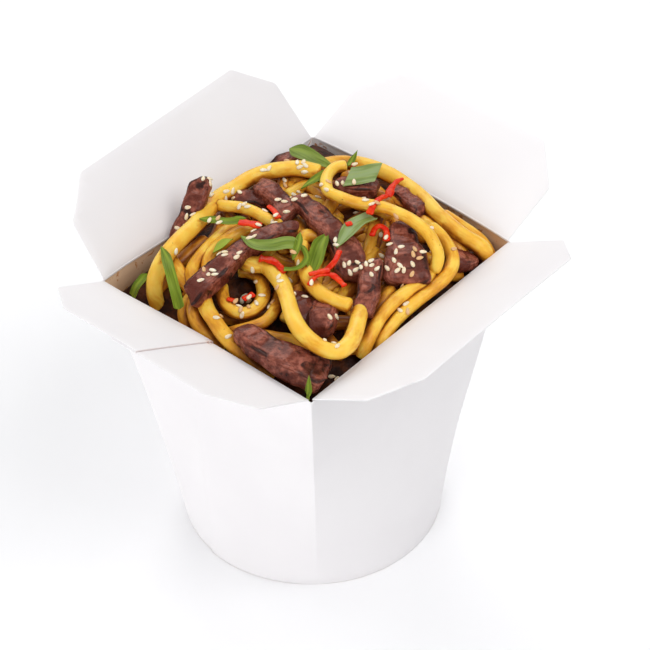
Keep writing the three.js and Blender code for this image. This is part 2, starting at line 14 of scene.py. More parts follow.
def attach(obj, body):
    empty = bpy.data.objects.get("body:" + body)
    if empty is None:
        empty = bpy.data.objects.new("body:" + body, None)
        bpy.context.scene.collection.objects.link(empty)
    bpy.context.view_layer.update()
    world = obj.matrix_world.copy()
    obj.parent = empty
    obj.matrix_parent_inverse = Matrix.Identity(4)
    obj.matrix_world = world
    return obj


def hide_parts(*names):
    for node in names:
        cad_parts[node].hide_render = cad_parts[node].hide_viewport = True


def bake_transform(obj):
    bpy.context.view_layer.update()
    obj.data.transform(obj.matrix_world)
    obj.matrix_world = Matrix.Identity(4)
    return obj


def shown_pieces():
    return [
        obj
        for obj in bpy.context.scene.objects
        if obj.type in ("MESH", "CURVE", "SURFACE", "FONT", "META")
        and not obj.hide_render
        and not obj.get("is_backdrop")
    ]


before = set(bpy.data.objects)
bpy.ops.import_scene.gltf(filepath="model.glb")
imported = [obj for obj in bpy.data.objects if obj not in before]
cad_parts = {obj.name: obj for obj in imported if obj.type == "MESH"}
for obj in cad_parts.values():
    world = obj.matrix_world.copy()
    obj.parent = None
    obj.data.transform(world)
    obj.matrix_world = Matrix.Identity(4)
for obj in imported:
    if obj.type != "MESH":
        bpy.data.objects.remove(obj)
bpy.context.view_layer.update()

# ---- The table, the light and the point of view ----
# The box stands on a plain white table in a pale room. Wide soft lights hang over it and
# stand in front of it, behind it, on its left and high on its right. They are placed in metres.
MM = 0.001
VIEW_AZIMUTH = math.radians(40.609)
VIEW_ELEVATION = math.radians(42.043)
VIEW_DISTANCE = 944.5
VIEW_AIM_HEIGHT = 60
VIEW_AIM_RIGHT = 4.237
VIEW_AIM_UP = 12.398
VIEW_LENS = 157.49
TABLE_SIZE = 8
TABLE_DROP = 0.1
TABLE_COLOR = (0.96, 0.96, 0.97, 1)
ROOM_COLOR = (0.985, 0.99, 1, 1)
ROOM_STRENGTH = 0.4
LAMPS = [
    {"name": "over_it", "place": (0, 0, 1.8), "size": 2.4, "power": 7},
    {"name": "in_front", "place": (0.2, -1.9, 0.45), "size": 1.2, "power": 15.4},
    {"name": "behind", "place": (-1.2, 1.2, 1.4), "size": 1.2, "power": 11.2},
    {"name": "on_the_left", "place": (-1.7, -0.2, 0.5), "size": 1.2, "power": 9},
    {"name": "high_on_the_right", "place": (0.9, 0.2, 1.5), "size": 1.2, "power": 12},
]

back = Vector((
    math.sin(VIEW_AZIMUTH) * math.cos(VIEW_ELEVATION),
    -math.cos(VIEW_AZIMUTH) * math.cos(VIEW_ELEVATION),
    math.sin(VIEW_ELEVATION),
))
right = Vector((math.cos(VIEW_AZIMUTH), math.sin(VIEW_AZIMUTH), 0))
up = back.cross(right)
aim = Vector((0, 0, VIEW_AIM_HEIGHT)) + VIEW_AIM_RIGHT * right + VIEW_AIM_UP * up
camera = bpy.data.objects.new("camera", bpy.data.cameras.new("camera"))
camera.data.lens = VIEW_LENS
camera.matrix_world = Matrix.Translation((aim + VIEW_DISTANCE * back) * MM) @ Matrix(
    (right, up, back)
).transposed().to_4x4()
bpy.context.collection.objects.link(camera)
bpy.context.scene.camera = camera
bpy.context.scene.view_settings.view_transform = "Standard"

for lamp in LAMPS:
    light = bpy.data.lights.new(lamp["name"], "AREA")
    light.size = lamp["size"]
    light.energy = lamp["power"]
    holder = bpy.data.objects.new(lamp["name"], light)
    holder.location = lamp["place"]
    holder.rotation_euler = (-Vector(lamp["place"])).to_track_quat("-Z", "Y").to_euler()
    bpy.context.collection.objects.link(holder)

room = bpy.data.worlds.new("white_room")
room.use_nodes = True
room.node_tree.nodes["Background"].inputs["Color"].default_value = ROOM_COLOR
room.node_tree.nodes["Background"].inputs["Strength"].default_value = ROOM_STRENGTH
bpy.context.scene.world = room


def add(tree, kind, inputs=None, **settings):
    """Adds a shader node. An input given as a socket is linked to it, any other is set."""
    node = tree.nodes.new(kind)
    for name, value in settings.items():
        setattr(node, name, value)
    for name, value in (inputs or {}).items():
        if isinstance(value, bpy.types.NodeSocket):
            tree.links.new(value, node.inputs[name])
        else:
            node.inputs[name].default_value = value
    return node


def new_finish(name, inputs):
    """A material with one shader, whose even properties are set on its own sockets."""
    material = bpy.data.materials.new(name)
    material.use_nodes = True
    shader = material.node_tree.nodes["Principled BSDF"]
    for socket, value in inputs.items():
        shader.inputs[socket].default_value = value
    return material, material.node_tree, shader


def millimetres(tree):
    """The place on the object in millimetres."""
    place = add(tree, "ShaderNodeTexCoord").outputs["Object"]
    scale = (1 / MM, 1 / MM, 1 / MM)
    return add(tree, "ShaderNodeMapping", {"Vector": place, "Scale": scale}).outputs["Vector"]


def mottle(tree, place, scale, detail=3, distortion=0):
    """Cloudy noise from 0 to 1, with about that many clouds to a millimetre."""
    inputs = {"Vector": place, "Scale": scale, "Detail": detail, "Distortion": distortion}
    return add(tree, "ShaderNodeTexNoise", inputs).outputs["Fac"]


def rise(tree, value, low, high, bottom=0, top=1):
    """Goes smoothly from bottom to top while the value goes from low to high."""
    inputs = {"Value": value, "From Min": low, "From Max": high, "To Min": bottom, "To Max": top}
    node = add(tree, "ShaderNodeMapRange", inputs, interpolation_type="SMOOTHSTEP")
    return node.outputs["Result"]


def make_piece(name, bm, materials, body=None, replaced=None, sharp=180):
    """Turns a finished bmesh into an object, which rides on its body if it has one."""
    mesh = bpy.data.meshes.new(name)
    bm.to_mesh(mesh)
    bm.free()
    mesh.shade_smooth()
    if sharp < 180:
        mesh.set_sharp_from_angle(angle=math.radians(sharp))
    for material in materials:
        mesh.materials.append(material)
    piece = bpy.data.objects.new(name, mesh)
    bpy.context.collection.objects.link(piece)
    if body:
        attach(piece, body)
    if replaced:
        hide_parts(*replaced)
    return piece


table_top, tree, shader = new_finish("table_top", {"Base Color": TABLE_COLOR, "Roughness": 0.6})
grain = mottle(tree, millimetres(tree), 0.02)
roughness = rise(tree, grain, 0.3, 0.7, 0.55, 0.65)
tree.links.new(roughness, shader.inputs["Roughness"])
bm = bmesh.new()
bmesh.ops.create_grid(bm, x_segments=4, y_segments=4, size=TABLE_SIZE / 2)
bmesh.ops.translate(bm, verts=bm.verts, vec=(0, 0, -TABLE_DROP * MM))
table = make_piece("table", bm, [table_top])
table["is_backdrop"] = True

# ---- The wall: one blank of white board, wrapped round and glued to itself ----
# The blank is cut and creased flat. Its two ends overlap in the front wall, where the
# second end lies outside the first, and its foot is drawn into a circle.
HEIGHT = 104
TOP_X = 85
TOP_Y = 99
BASE_RADIUS = 44
BOARD = 0.5
# Layers that lie on each other are drawn this much thinner, so that their faces part.
BOARD_EASE = 0.03
GAP = 0.3
CREASE_ANGLE = math.radians(47)
LAP_START = 0.4
LAP_END = 0.52
FRONT_SIDE = 2
CORNERS = [
    (1, 1, CREASE_ANGLE),
    (-1, 1, math.pi - CREASE_ANGLE),
    (-1, -1, math.pi + CREASE_ANGLE),
    (1, -1, 2 * math.pi - CREASE_ANGLE),
]
WALL_COLUMNS = 44
WALL_ROWS = 26
EDGE_ROUNDING = 0.12
WALL_WAVE = 0.18
# The food pushes the rim outwards near its front left corner and along its back.
CORNER_PUSH = Vector((-3.2, -2, 0))
BACK_PUSH = Vector((0, 2, 0))
PUSH_LENGTH = 0.45
PUSH_LIMIT = 0.75
PUSH_FADE = 18
BOARD_GLOSS = {"Roughness": 0.5, "Specular IOR Level": 0.35}
INSIDE_GLOSS = {"Roughness": 0.42, "Specular IOR Level": 0.4}
BOARD_RELIEF = 0.35
TOOTH_SHARE = 0.008
BOARD_COLOR = (0.882, 0.862, 0.871, 1)
BOARD_SHADE = (0.864, 0.842, 0.853, 1)
GREASED_BOARD = (0.74, 0.50, 0.30, 1)
LOW_WALL_BROWN = (0.50, 0.25, 0.10, 1)
SAUCE_SPOT = (0.50, 0.17, 0.03, 1)


def mix(low, high, share):
    """The value that lies this share of the way from low to high."""
    return low + (high - low) * share


def limited(value):
    """The value, kept from 0 to 1."""
    return min(1, max(0, value))


def pushed(place):
    """Moves the board near the rim outwards where the food pushes it."""
    near_left = 1 - (place.x + TOP_X / 2) / (PUSH_LENGTH * TOP_X)
    near_front = 1 - (place.y + TOP_Y / 2) / (PUSH_LENGTH * TOP_Y)
    near = limited(near_left) * limited(near_front)
    bow = max(0, 1 - (2 * place.x / TOP_X) ** 2) * limited(2 * place.y / TOP_Y) ** 4
    if place.z < HEIGHT:
        level = (place.z / HEIGHT) ** 4
    else:
        level = max(0, 1 - (place.z - HEIGHT) / PUSH_FADE)
    return place + level * (min(PUSH_LIMIT, near) * CORNER_PUSH + bow * BACK_PUSH)


def wall_point(side, fraction, z, inset):
    """A point of the wall: a straight line from the round foot to the rectangular rim."""
    first, second = CORNERS[side], CORNERS[(side + 1) % 4]
    turn = (second[2] - first[2]) % (2 * math.pi)
    angle = first[2] + fraction * turn
    radius = BASE_RADIUS - inset
    rim_x = mix(first[0], second[0], fraction) * (TOP_X / 2 - inset)
    rim_y = mix(first[1], second[1], fraction) * (TOP_Y / 2 - inset)
    share = z / HEIGHT
    return pushed(Vector((
        mix(radius * math.cos(angle), rim_x, share),
        mix(radius * math.sin(angle), rim_y, share),
        z,
    )))


def crowded(share):
    """Draws columns closer together near the two creases of a side."""
    return 0.5 - 0.5 * math.cos(math.pi * share)


def columns_round():
    """Side and fraction of each column, from the outer end of the blank to its inner end."""
    steps = [crowded(i / WALL_COLUMNS) for i in range(WALL_COLUMNS)]
    outer_end = [LAP_START] + [step for step in steps if step > LAP_START + 0.01]
    inner_end = [step for step in steps if step < LAP_END - 0.01] + [LAP_END]
    columns = [(FRONT_SIDE, step, True) for step in outer_end]
    for side in (3, 0, 1):
        columns += [(side, step, False) for step in steps]
    return columns + [(FRONT_SIDE, step, False) for step in inner_end]


def rounded(bm, width, segments=2):
    """Rounds every edge where two faces meet nearly square."""
    edges = [edge for edge in bm.edges if edge.calc_face_angle(0) > 1]
    bmesh.ops.bevel(
        bm, geom=edges, offset=width * MM, segments=segments, profile=0.5, affect="EDGES", material=-1
    )


def thickened(bm, thickness):
    """Gives a sheet its thickness."""
    bmesh.ops.recalc_face_normals(bm, faces=bm.faces)
    bmesh.ops.solidify(bm, geom=bm.faces[:], thickness=thickness * MM)


def math_of(tree, operation, first, second):
    """One sum of two values, each a socket or a number."""
    node = add(tree, "ShaderNodeMath", {0: first, 1: second}, operation=operation)
    return node.outputs["Value"]


def distance_from(tree, place, point):
    """How far the place on the object is from a point."""
    inputs = {0: place, 1: point}
    node = add(tree, "ShaderNodeVectorMath", inputs, operation="DISTANCE")
    return node.outputs["Value"]


def mix_colors(tree, share, first, second):
    """The first color where the share is 0 and the second where it is 1."""
    inputs = {0: share, 6: first, 7: second}
    return add(tree, "ShaderNodeMix", inputs, data_type="RGBA").outputs[2]


def bump(tree, shader, height, distance, strength=1):
    """Gives the shader a relief that is this many millimetres deep."""
    inputs = {"Height": height, "Distance": distance * MM, "Strength": strength}
    normal = add(tree, "ShaderNodeBump", inputs).outputs["Normal"]
    tree.links.new(normal, shader.inputs["Normal"])


def clean_board(tree, place):
    """The board's off-white, a little darker in wide patches."""
    patches = rise(tree, mottle(tree, place, 0.03, 2), 0.35, 0.65)
    return mix_colors(tree, patches, BOARD_COLOR, BOARD_SHADE)


def finish_board(tree, shader, place, color):
    """Lays the color on the board, with its faint tooth and its slight waviness."""
    tree.links.new(color, shader.inputs["Base Color"])
    fibres = mottle(tree, place, 2.2, 4)
    wave = mottle(tree, place, 0.05, 2)
    height = math_of(tree, "ADD", math_of(tree, "MULTIPLY", fibres, TOOTH_SHARE), wave)
    bump(tree, shader, height, BOARD_RELIEF, 0.5)


white_board, tree, shader = new_finish("white_board", BOARD_GLOSS)
place = millimetres(tree)
finish_board(tree, shader, place, clean_board(tree, place))

board_inside, tree, shader = new_finish("board_inside", INSIDE_GLOSS)
place = millimetres(tree)
height = add(tree, "ShaderNodeSeparateXYZ", {"Vector": place}).outputs["Z"]
edge = math_of(tree, "ADD", height, math_of(tree, "MULTIPLY", mottle(tree, place, 0.1, 4), 6))
from_clean_corner = distance_from(tree, place, (-TOP_X / 2, TOP_Y / 2, HEIGHT))
away_from_corner = rise(tree, from_clean_corner, 4, 30, 0.1, 0.9)
greasy = math_of(tree, "MULTIPLY", rise(tree, edge, HEIGHT + 2.5, HEIGHT + 4.8, 1, 0), away_from_corner)
color = mix_colors(tree, greasy, BOARD_COLOR, GREASED_BOARD)
# The inside of the wall turns dark brown lower down, towards the food.
brown_share = math_of(tree, "MULTIPLY", rise(tree, edge, HEIGHT - 8, HEIGHT - 1, 1, 0), away_from_corner)
color = mix_colors(tree, brown_share, color, LOW_WALL_BROWN)
spots = rise(tree, mottle(tree, place, 0.3, 3, 0.6), 0.6, 0.66)
low_down = rise(tree, height, HEIGHT - 2.5, HEIGHT + 0.2, 0.9, 0)
color = mix_colors(tree, math_of(tree, "MULTIPLY", spots, low_down), color, SAUCE_SPOT)
finish_board(tree, shader, place, color)

columns = columns_round()
bm = bmesh.new()
bmesh.ops.create_grid(bm, x_segments=len(columns) - 1, y_segments=WALL_ROWS, size=0.5)
for vert in bm.verts:
    side, fraction, is_outer = columns[round((vert.co.x + 0.5) * (len(columns) - 1))]
    share = vert.co.y + 0.5
    lift = BOARD * min(1, (1 - fraction) / (1 - LAP_END)) if is_outer else 0
    place = wall_point(side, fraction, share * (HEIGHT - GAP), -lift)
    wave = WALL_WAVE * math.sin(math.pi * share) * noise.noise(place * 0.03)
    vert.co = (place + wave * place.normalized()) * MM
thickened(bm, BOARD - BOARD_EASE)
for face in bm.faces:
    middle = face.calc_center_median()
    if face.normal.x * middle.x + face.normal.y * middle.y < 0:
        face.material_index = 1
rounded(bm, EDGE_ROUNDING)
make_piece(
    "wall_board", bm, [white_board, board_inside], "filled_box", ["carton"], sharp=40
)

# ---- The base: a pressed disc of board sealed into the foot ----
# The disc's edge is crimped into the foot of the wall, and its middle is pressed up a
# little, so that the box stands on the crimped ring.
BASE_INSET = 0.8
BASE_SIDES = 128
CRIMP_WIDTH = 3
CRIMP_RISE = 0.25
CRIMP_STEP = 0.6
DISC_BOARD = 0.45

bm = bmesh.new()
disc_radius = BASE_RADIUS - BASE_INSET
bmesh.ops.create_circle(bm, cap_ends=True, segments=BASE_SIDES, radius=disc_radius * MM)
bmesh.ops.inset_region(bm, faces=bm.faces[:], thickness=CRIMP_WIDTH * MM)
middle = max(bm.faces, key=lambda face: face.calc_area())
bmesh.ops.translate(bm, verts=middle.verts[:], vec=(0, 0, CRIMP_RISE * MM))
bmesh.ops.inset_region(bm, faces=[middle], thickness=CRIMP_STEP * MM)
thickened(bm, DISC_BOARD)
lowest = min(vert.co.z for vert in bm.verts)
bmesh.ops.translate(bm, verts=bm.verts, vec=(0, 0, -lowest))
bmesh.ops.recalc_face_normals(bm, faces=bm.faces)
rounded(bm, EDGE_ROUNDING)
make_piece("base_board", bm, [white_board], "filled_box", ["base_disc"], sharp=40)

# ---- The flaps: four panels of the same board, creased at the rim ----
# Each is folded out on its crease and keeps a slight bow. The front one is double, as
# both ends of the blank reach up into it, one glued on the other.
FLAP_CHAMFER = 13.6
FLAP_SIDE_INSET = 1
FLAP_ROUNDING = 3
FLAP_BOW = 0.45
ROUNDING_CUTS = 5
PANEL_COLUMNS = 30
PANEL_ROWS = 12
# A drop of sauce has soaked in beside the seam of the front flap, this far from its foot.
SEAM_SPILL = Vector((-0.3, -1.5, 0.6))
SEAM_PINK = (0.72, 0.56, 0.53, 1)
FLAPS = [
    {"side": "left", "turn": 180, "width": TOP_Y, "reach": TOP_X / 2, "tilt": 46.4,
     "depth": 34.2, "straight": 21.9, "layers": [(0, 1, 0)]},
    {"side": "back", "turn": 90, "width": TOP_X, "reach": TOP_Y / 2, "tilt": 68.3,
     "depth": 37, "straight": 23, "layers": [(0, 1, 0)]},
    {"side": "front", "turn": -90, "width": TOP_X, "reach": TOP_Y / 2 + BOARD, "tilt": 60.9,
     "depth": 38, "straight": 25.6, "layers": [(0, LAP_END, 1), (LAP_START, 1, 0)]},
    {"side": "right", "turn": 0, "width": TOP_Y, "reach": TOP_X / 2, "tilt": 59.2,
     "depth": 39, "straight": 25, "layers": [(0, 1, 0)]},
]


def flap_reach(flap, start, end):
    """How far a layer of the flap reaches along its crease, from the middle of the side."""
    half = flap["width"] / 2 - FLAP_SIDE_INSET
    return (
        max(-half, flap["width"] / 2 - end * flap["width"]),
        min(half, flap["width"] / 2 - start * flap["width"]),
    )


def trimming_lines(flap):
    """Point and outward direction of each cut that trims a corner and rounds it."""
    half = flap["width"] / 2 - FLAP_SIDE_INSET
    corner = flap["width"] / 2 - FLAP_CHAMFER
    side_end = Vector((half, flap["straight"]))
    edge_end = Vector((corner, flap["depth"]))
    slant = (side_end - edge_end).orthogonal().normalized()
    if slant.y < 0:
        slant = -slant
    lines = [(side_end, slant)]
    for tip, first, second in (
        (side_end, Vector((1, 0)), slant),
        (edge_end, slant, Vector((0, 1))),
    ):
        centre = tip - FLAP_ROUNDING * (first + second) / (1 + first.dot(second))
        for cut in range(1, ROUNDING_CUTS):
            direction = first.slerp(second, cut / ROUNDING_CUTS)
            lines.append((centre + FLAP_ROUNDING * direction, direction))
    return lines


def flap_place(flap):
    """Takes a flap drawn flat, x along its crease and y away from it, to its place."""
    upright = Matrix(((0, 0, -1), (-1, 0, 0), (0, 1, 0))).to_4x4()
    tilt = Matrix.Rotation(math.radians(flap["tilt"]), 4, "Y")
    turn = Matrix.Rotation(math.radians(flap["turn"]), 4, "Z")
    hinge = Matrix.Translation((flap["reach"] * MM, 0, HEIGHT * MM))
    return turn @ hinge @ tilt @ upright


seamed_board, tree, shader = new_finish("seamed_board", BOARD_GLOSS)
place = millimetres(tree)
across = add(tree, "ShaderNodeSeparateXYZ", {"Vector": place}).outputs["X"]
seam_x = TOP_X * (LAP_END - 0.5)
off_seam = math_of(tree, "ABSOLUTE", math_of(tree, "SUBTRACT", across, seam_x), 0)
edge_stain = rise(tree, off_seam, 0.05, 0.25, 0.4, 0)
from_spill = distance_from(tree, place, Vector((seam_x, -TOP_Y / 2, HEIGHT)) + SEAM_SPILL)
brown_share = rise(tree, from_spill, 0.4, 2, 0.9, 0)
brown_share = math_of(tree, "MULTIPLY", brown_share, rise(tree, mottle(tree, place, 0.6), 0.35, 0.55))
color = mix_colors(tree, edge_stain, clean_board(tree, place), SEAM_PINK)
color = mix_colors(tree, brown_share, color, SAUCE_SPOT)
finish_board(tree, shader, place, color)


def flap_finish(flap):
    """The front flap shows the seam, and the others are plain."""
    return seamed_board if flap["side"] == "front" else white_board


for flap in FLAPS:
    bm = bmesh.new()
    for start, end, layer in flap["layers"]:
        low, high = flap_reach(flap, start, end)
        panel = bmesh.ops.create_grid(
            bm, x_segments=PANEL_COLUMNS, y_segments=PANEL_ROWS, size=0.5
        )["verts"]
        for vert in panel:
            along = mix(low, high, vert.co.x + 0.5)
            away = mix(GAP, flap["depth"], vert.co.y + 0.5)
            vert.co = Vector((along, away, layer * BOARD)) * MM
    for point, direction in trimming_lines(flap):
        for hand in (1, -1):
            bmesh.ops.bisect_plane(
                bm,
                geom=bm.verts[:] + bm.edges[:] + bm.faces[:],
                plane_co=Vector((hand * point.x, point.y, 0)) * MM,
                plane_no=Vector((hand * direction.x, direction.y, 0)),
                clear_outer=True,
            )
    for vert in bm.verts:
        across = 2 * vert.co.x / (flap["width"] * MM)
        away = vert.co.y / (flap["depth"] * MM)
        vert.co.z += FLAP_BOW * MM * (1 - across ** 2) * away * (2 - away)
    for face in bm.faces:
        if face.normal.z > 0:
            face.normal_flip()
    bmesh.ops.solidify(bm, geom=bm.faces[:], thickness=(BOARD - BOARD_EASE) * MM)
    bmesh.ops.recalc_face_normals(bm, faces=bm.faces)
    rounded(bm, EDGE_ROUNDING)
    bm.transform(flap_place(flap))
    for vert in bm.verts:
        vert.co = pushed(vert.co / MM) * MM
    side = flap["side"]
    make_piece(
        f"flap_{side}_board", bm, [flap_finish(flap)], f"{side}_flap", [f"flap_{side}"],
        sharp=40,
    )

# ---- The creases: the same board, bent between the wall and each flap ----
# A crease is pressed into the flat blank, so the board bends there in a small round fold.
# Each fold is drawn at its flap's tilt, one edge at the wall and the other at the flap.
FOLD_STEPS = 8
FOLD_CUTS = 30
FOLD_SMALLEST_RADIUS = 0.04

for flap in FLAPS:
    bm = bmesh.new()
    tilt = math.radians(flap["tilt"])
    turn = Matrix.Rotation(math.radians(flap["turn"]), 4, "Z")
    for start, end, layer in flap["layers"]:
        low, high = flap_reach(flap, start, end)
        outer = max(layer * BOARD, FOLD_SMALLEST_RADIUS)
        inner = layer * BOARD + BOARD - BOARD_EASE
        bends = [tilt * step / FOLD_STEPS for step in range(FOLD_STEPS + 1)]
        loop = [(inner, 0, -GAP)]
        loop += [(inner, bend, 0) for bend in bends]
        loop += [(inner, tilt, GAP), (outer, tilt, GAP)]
        loop += [(outer, bend, 0) for bend in reversed(bends)]
        loop += [(outer, 0, -GAP)]
        ring = bmesh.ops.create_circle(bm, cap_ends=True, segments=len(loop), radius=1)["verts"]
        for vert, (radius, bend, slide) in zip(ring, loop):
            x = flap["reach"] - radius * math.cos(bend) + slide * math.sin(bend)
            z = HEIGHT + radius * math.sin(bend) + slide * math.cos(bend)
            vert.co = Vector((x, -high, z)) * MM
        face = ring[0].link_faces[0]
        grown = bmesh.ops.extrude_face_region(bm, geom=[face])["geom"]
        grown = [part for part in grown if isinstance(part, bmesh.types.BMVert)]
        bmesh.ops.translate(bm, verts=grown, vec=(0, (high - low) * MM, 0))
    for cut in range(1, FOLD_CUTS):
        bmesh.ops.bisect_plane(
            bm,
            geom=bm.verts[:] + bm.edges[:] + bm.faces[:],
            plane_co=(0, (cut / FOLD_CUTS - 0.5) * flap["width"] * MM, 0),
            plane_no=(0, 1, 0),
        )
    bm.transform(turn)
    bmesh.ops.recalc_face_normals(bm, faces=bm.faces)
    piece = make_piece(
        f"fold_{flap['side']}", bm, [flap_finish(flap)], sharp=50
    )
    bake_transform(piece)
    for vert in piece.data.vertices:
        vert.co = pushed(vert.co / MM) * MM

# ---- The bed: what lies below the noodles that show ----
# Deeper noodles and dark soy sauce fill the box to just under its rim. The bed is one
# closed mound, a little higher towards the back left corner. Its near-black browns are
# painted shade for the deep gaps, over the dark soy.
FOOD_TO_WALL = 1.3
BED_COLUMNS = 96
BED_RINGS = 40
BED_DEPTH = 40
BED_RIM_DROP = 6
BED_SETTLED = 0.8
BED_EDGE = -6.5
BED_CROWN = 8.5
BED_LEAN = Vector((-0.052, 0.061))
BED_LUMPS = 1.1
BED_SAUCE_AND_SHADE_BROWN = (0.10, 0.026, 0.006, 1)
BED_SHADE_BLACK = (0.022, 0.006, 0.003, 1)
# Middles of the hollows that show as dark gaps.
WELLS = [(-6, -27), (-31, -27), (-4, -15), (12, -29), (35, -41)]
WELL_DEPTH = 6
WELL_RADIUS = 3
WELL_CLEARANCE = 5.5


def bed_top(x, y):
    """Height of the bed above the rim."""
    towards_x = min(1, abs(x) / 43) ** (8 if x < 0 else 4)
    towards_y = min(1, abs(y) / 50) ** (6 if y > 0 else 4)
    hollow = 0
    for well_x, well_y in WELLS:
        away = (x - well_x) ** 2 + (y - well_y) ** 2
        hollow += math.exp(-away / (2 * WELL_RADIUS ** 2))
    mound = BED_EDGE + BED_CROWN * (1 - towards_x) * (1 - towards_y)
    return mound + BED_LEAN.x * x + BED_LEAN.y * y - WELL_DEPTH * hollow


# Painted shade: the bed's near-black browns stand in for the shade deep between the noodles.
bed_sauce_and_shade, tree, shader = new_finish("bed_sauce_and_shade", {"Roughness": 0.4, "Specular IOR Level": 0.1})
place = millimetres(tree)
patches = rise(tree, mottle(tree, place, 0.25), 0.4, 0.65)
color = mix_colors(tree, patches, BED_SHADE_BLACK, BED_SAUCE_AND_SHADE_BROWN)
tree.links.new(color, shader.inputs["Base Color"])
bump(tree, shader, mottle(tree, place, 0.8), 0.4)

bm = bmesh.new()
bmesh.ops.create_grid(bm, x_segments=BED_COLUMNS, y_segments=BED_RINGS, size=0.5)
for vert in bm.verts:
    turn = 4 * (vert.co.x + 0.5) % 4
    ring = round((vert.co.y + 0.5) * BED_RINGS)
    if ring == 0:
        place = wall_point(int(turn), turn % 1, HEIGHT - BED_DEPTH, FOOD_TO_WALL)
    else:
        rim = wall_point(int(turn), turn % 1, HEIGHT - BED_RIM_DROP, FOOD_TO_WALL)
        spread = 1 - (ring - 1) / (BED_RINGS - 1)
        x, y = rim.x * spread, rim.y * spread
        lump = BED_LUMPS * noise.noise(Vector((x, y, 0)) * 0.3)
        place = Vector((x, y, HEIGHT - BED_SETTLED + bed_top(x, y) + lump))
    vert.co = place * MM
bmesh.ops.remove_doubles(bm, verts=bm.verts, dist=1e-6)
bmesh.ops.holes_fill(bm, edges=[edge for edge in bm.edges if edge.is_boundary], sides=0)
bmesh.ops.recalc_face_normals(bm, faces=bm.faces)
make_piece("noodle_bed", bm, [bed_sauce_and_shade], "filled_box", ["noodles"])

# ---- The noodles: thick round wheat noodles, tossed in soy sauce ----
# They are rolled and cut, so they are nearly round, with blunt pale ends, and they lie in
# loose loops. Those on top are clean and yellow; sauce and painted shade darken those
# further down and the undersides of all.
NOODLE_RADIUS = 2.3
NOODLE_SIDES = 18
NOODLE_STEP = 0.9
NOODLE_END = 1.1
NOODLE_BULGE = 0.09
NOODLE_FLATNESS = 0.035
# Radius and route. A route is a short list of points: x, y, and the height above the rim.
LOWER_NOODLES = [
    (2.3, [(-31, -40, -4), (-31, -33, 0), (-31, -25, 2), (-30, -17, 4)]),
    (2.3, [(-20, -30, 1), (-18, -37, 0), (-16, -43, -2), (-12, -45, -7)]),
    (2.2, [(-16, -38, 1), (-12, -43, 1), (-7.5, -45.5, -1), (-2, -46, -3), (2, -45, -6)]),
    (2.4, [(-35, -31, 4), (-29, -33.5, 4), (-23, -35, 2), (-18, -36, -1), (-14, -38, -4)]),
    (2.2, [(-17, -37, 3), (-23, -31.5, 4.5), (-25, -23, 6), (-26, -15, 6), (-26, -7.5, 6),
           (-26, -2, 5)]),
    (2.2, [(-15, -32, 4), (-20.5, -27, 5.5), (-22, -21.5, 7), (-22, -14.5, 7.5), (-20.5, -8.5, 8),
           (-20, -1, 6)]),
    (2.4, [(-29, 23, 6), (-25, 34, 6), (-21, 41, 5), (-14, 45, 3)]),
    (2.3, [(-23, 14, 6), (-22, 22, 6), (-17, 24, 6), (-9, 26, 6)]),
    (2.2, [(-5, 12, 6), (-7.5, 16, 6.5), (-8, 19, 8), (-8.5, 23, 9.5)]),
    (2.3, [(-17, 8.5, 5), (-9.5, 5, 6), (-3, -0.5, 6), (2.5, -5.5, 5), (5, -10.5, 3)]),
    (2.3, [(1, 4, 8), (-3, 0, 9), (-1, -7, 8)]),
    (2.2, [(3, 34, 5), (5, 28.5, 5), (8.5, 21.5, 5), (12, 15, 4.5), (15, 9.5, 3), (18, 5, 1)]),
    (2.2, [(-2, 24, 8.5), (6, 25, 10), (12, 26, 9)]),
    (2.2, [(18, 44.5, 1.5), (24, 44.5, 1), (29.5, 45, -0.5), (34, 45.5, -2.5), (38, 45, -6)]),
    (2.3, [(14, 36, 3), (19.5, 36, 3), (25.5, 35.5, 2), (31, 35, 1), (35, 35.5, -1)]),
    (2.3, [(32, 22, 0), (37, 25, -1), (38, 29, -3)]),
    (2.2, [(8, -37, -1), (15, -34, -1), (19, -32, -1), (26, -31, -2)]),
    (2.2, [(9, -16, 5), (11, -21, 4), (13, -28, 1)]),
    (2.3, [(35, -22, -3), (30, -13, -1), (27, -2, 0), (26, 6, 1)]),
    (1.9, [(0.5, -42, -2), (3.5, -40.5, 0), (7, -37.5, 1.5), (9, -33, 2), (8, -27.5, 2),
           (5, -22, 1.5), (2, -18, 1)]),
    (2.2, [(29, 5, 2), (30.5, -0.5, 1.5), (31.5, -6, 0), (32, -12, -1.5), (34, -17.5, -4)]),
]
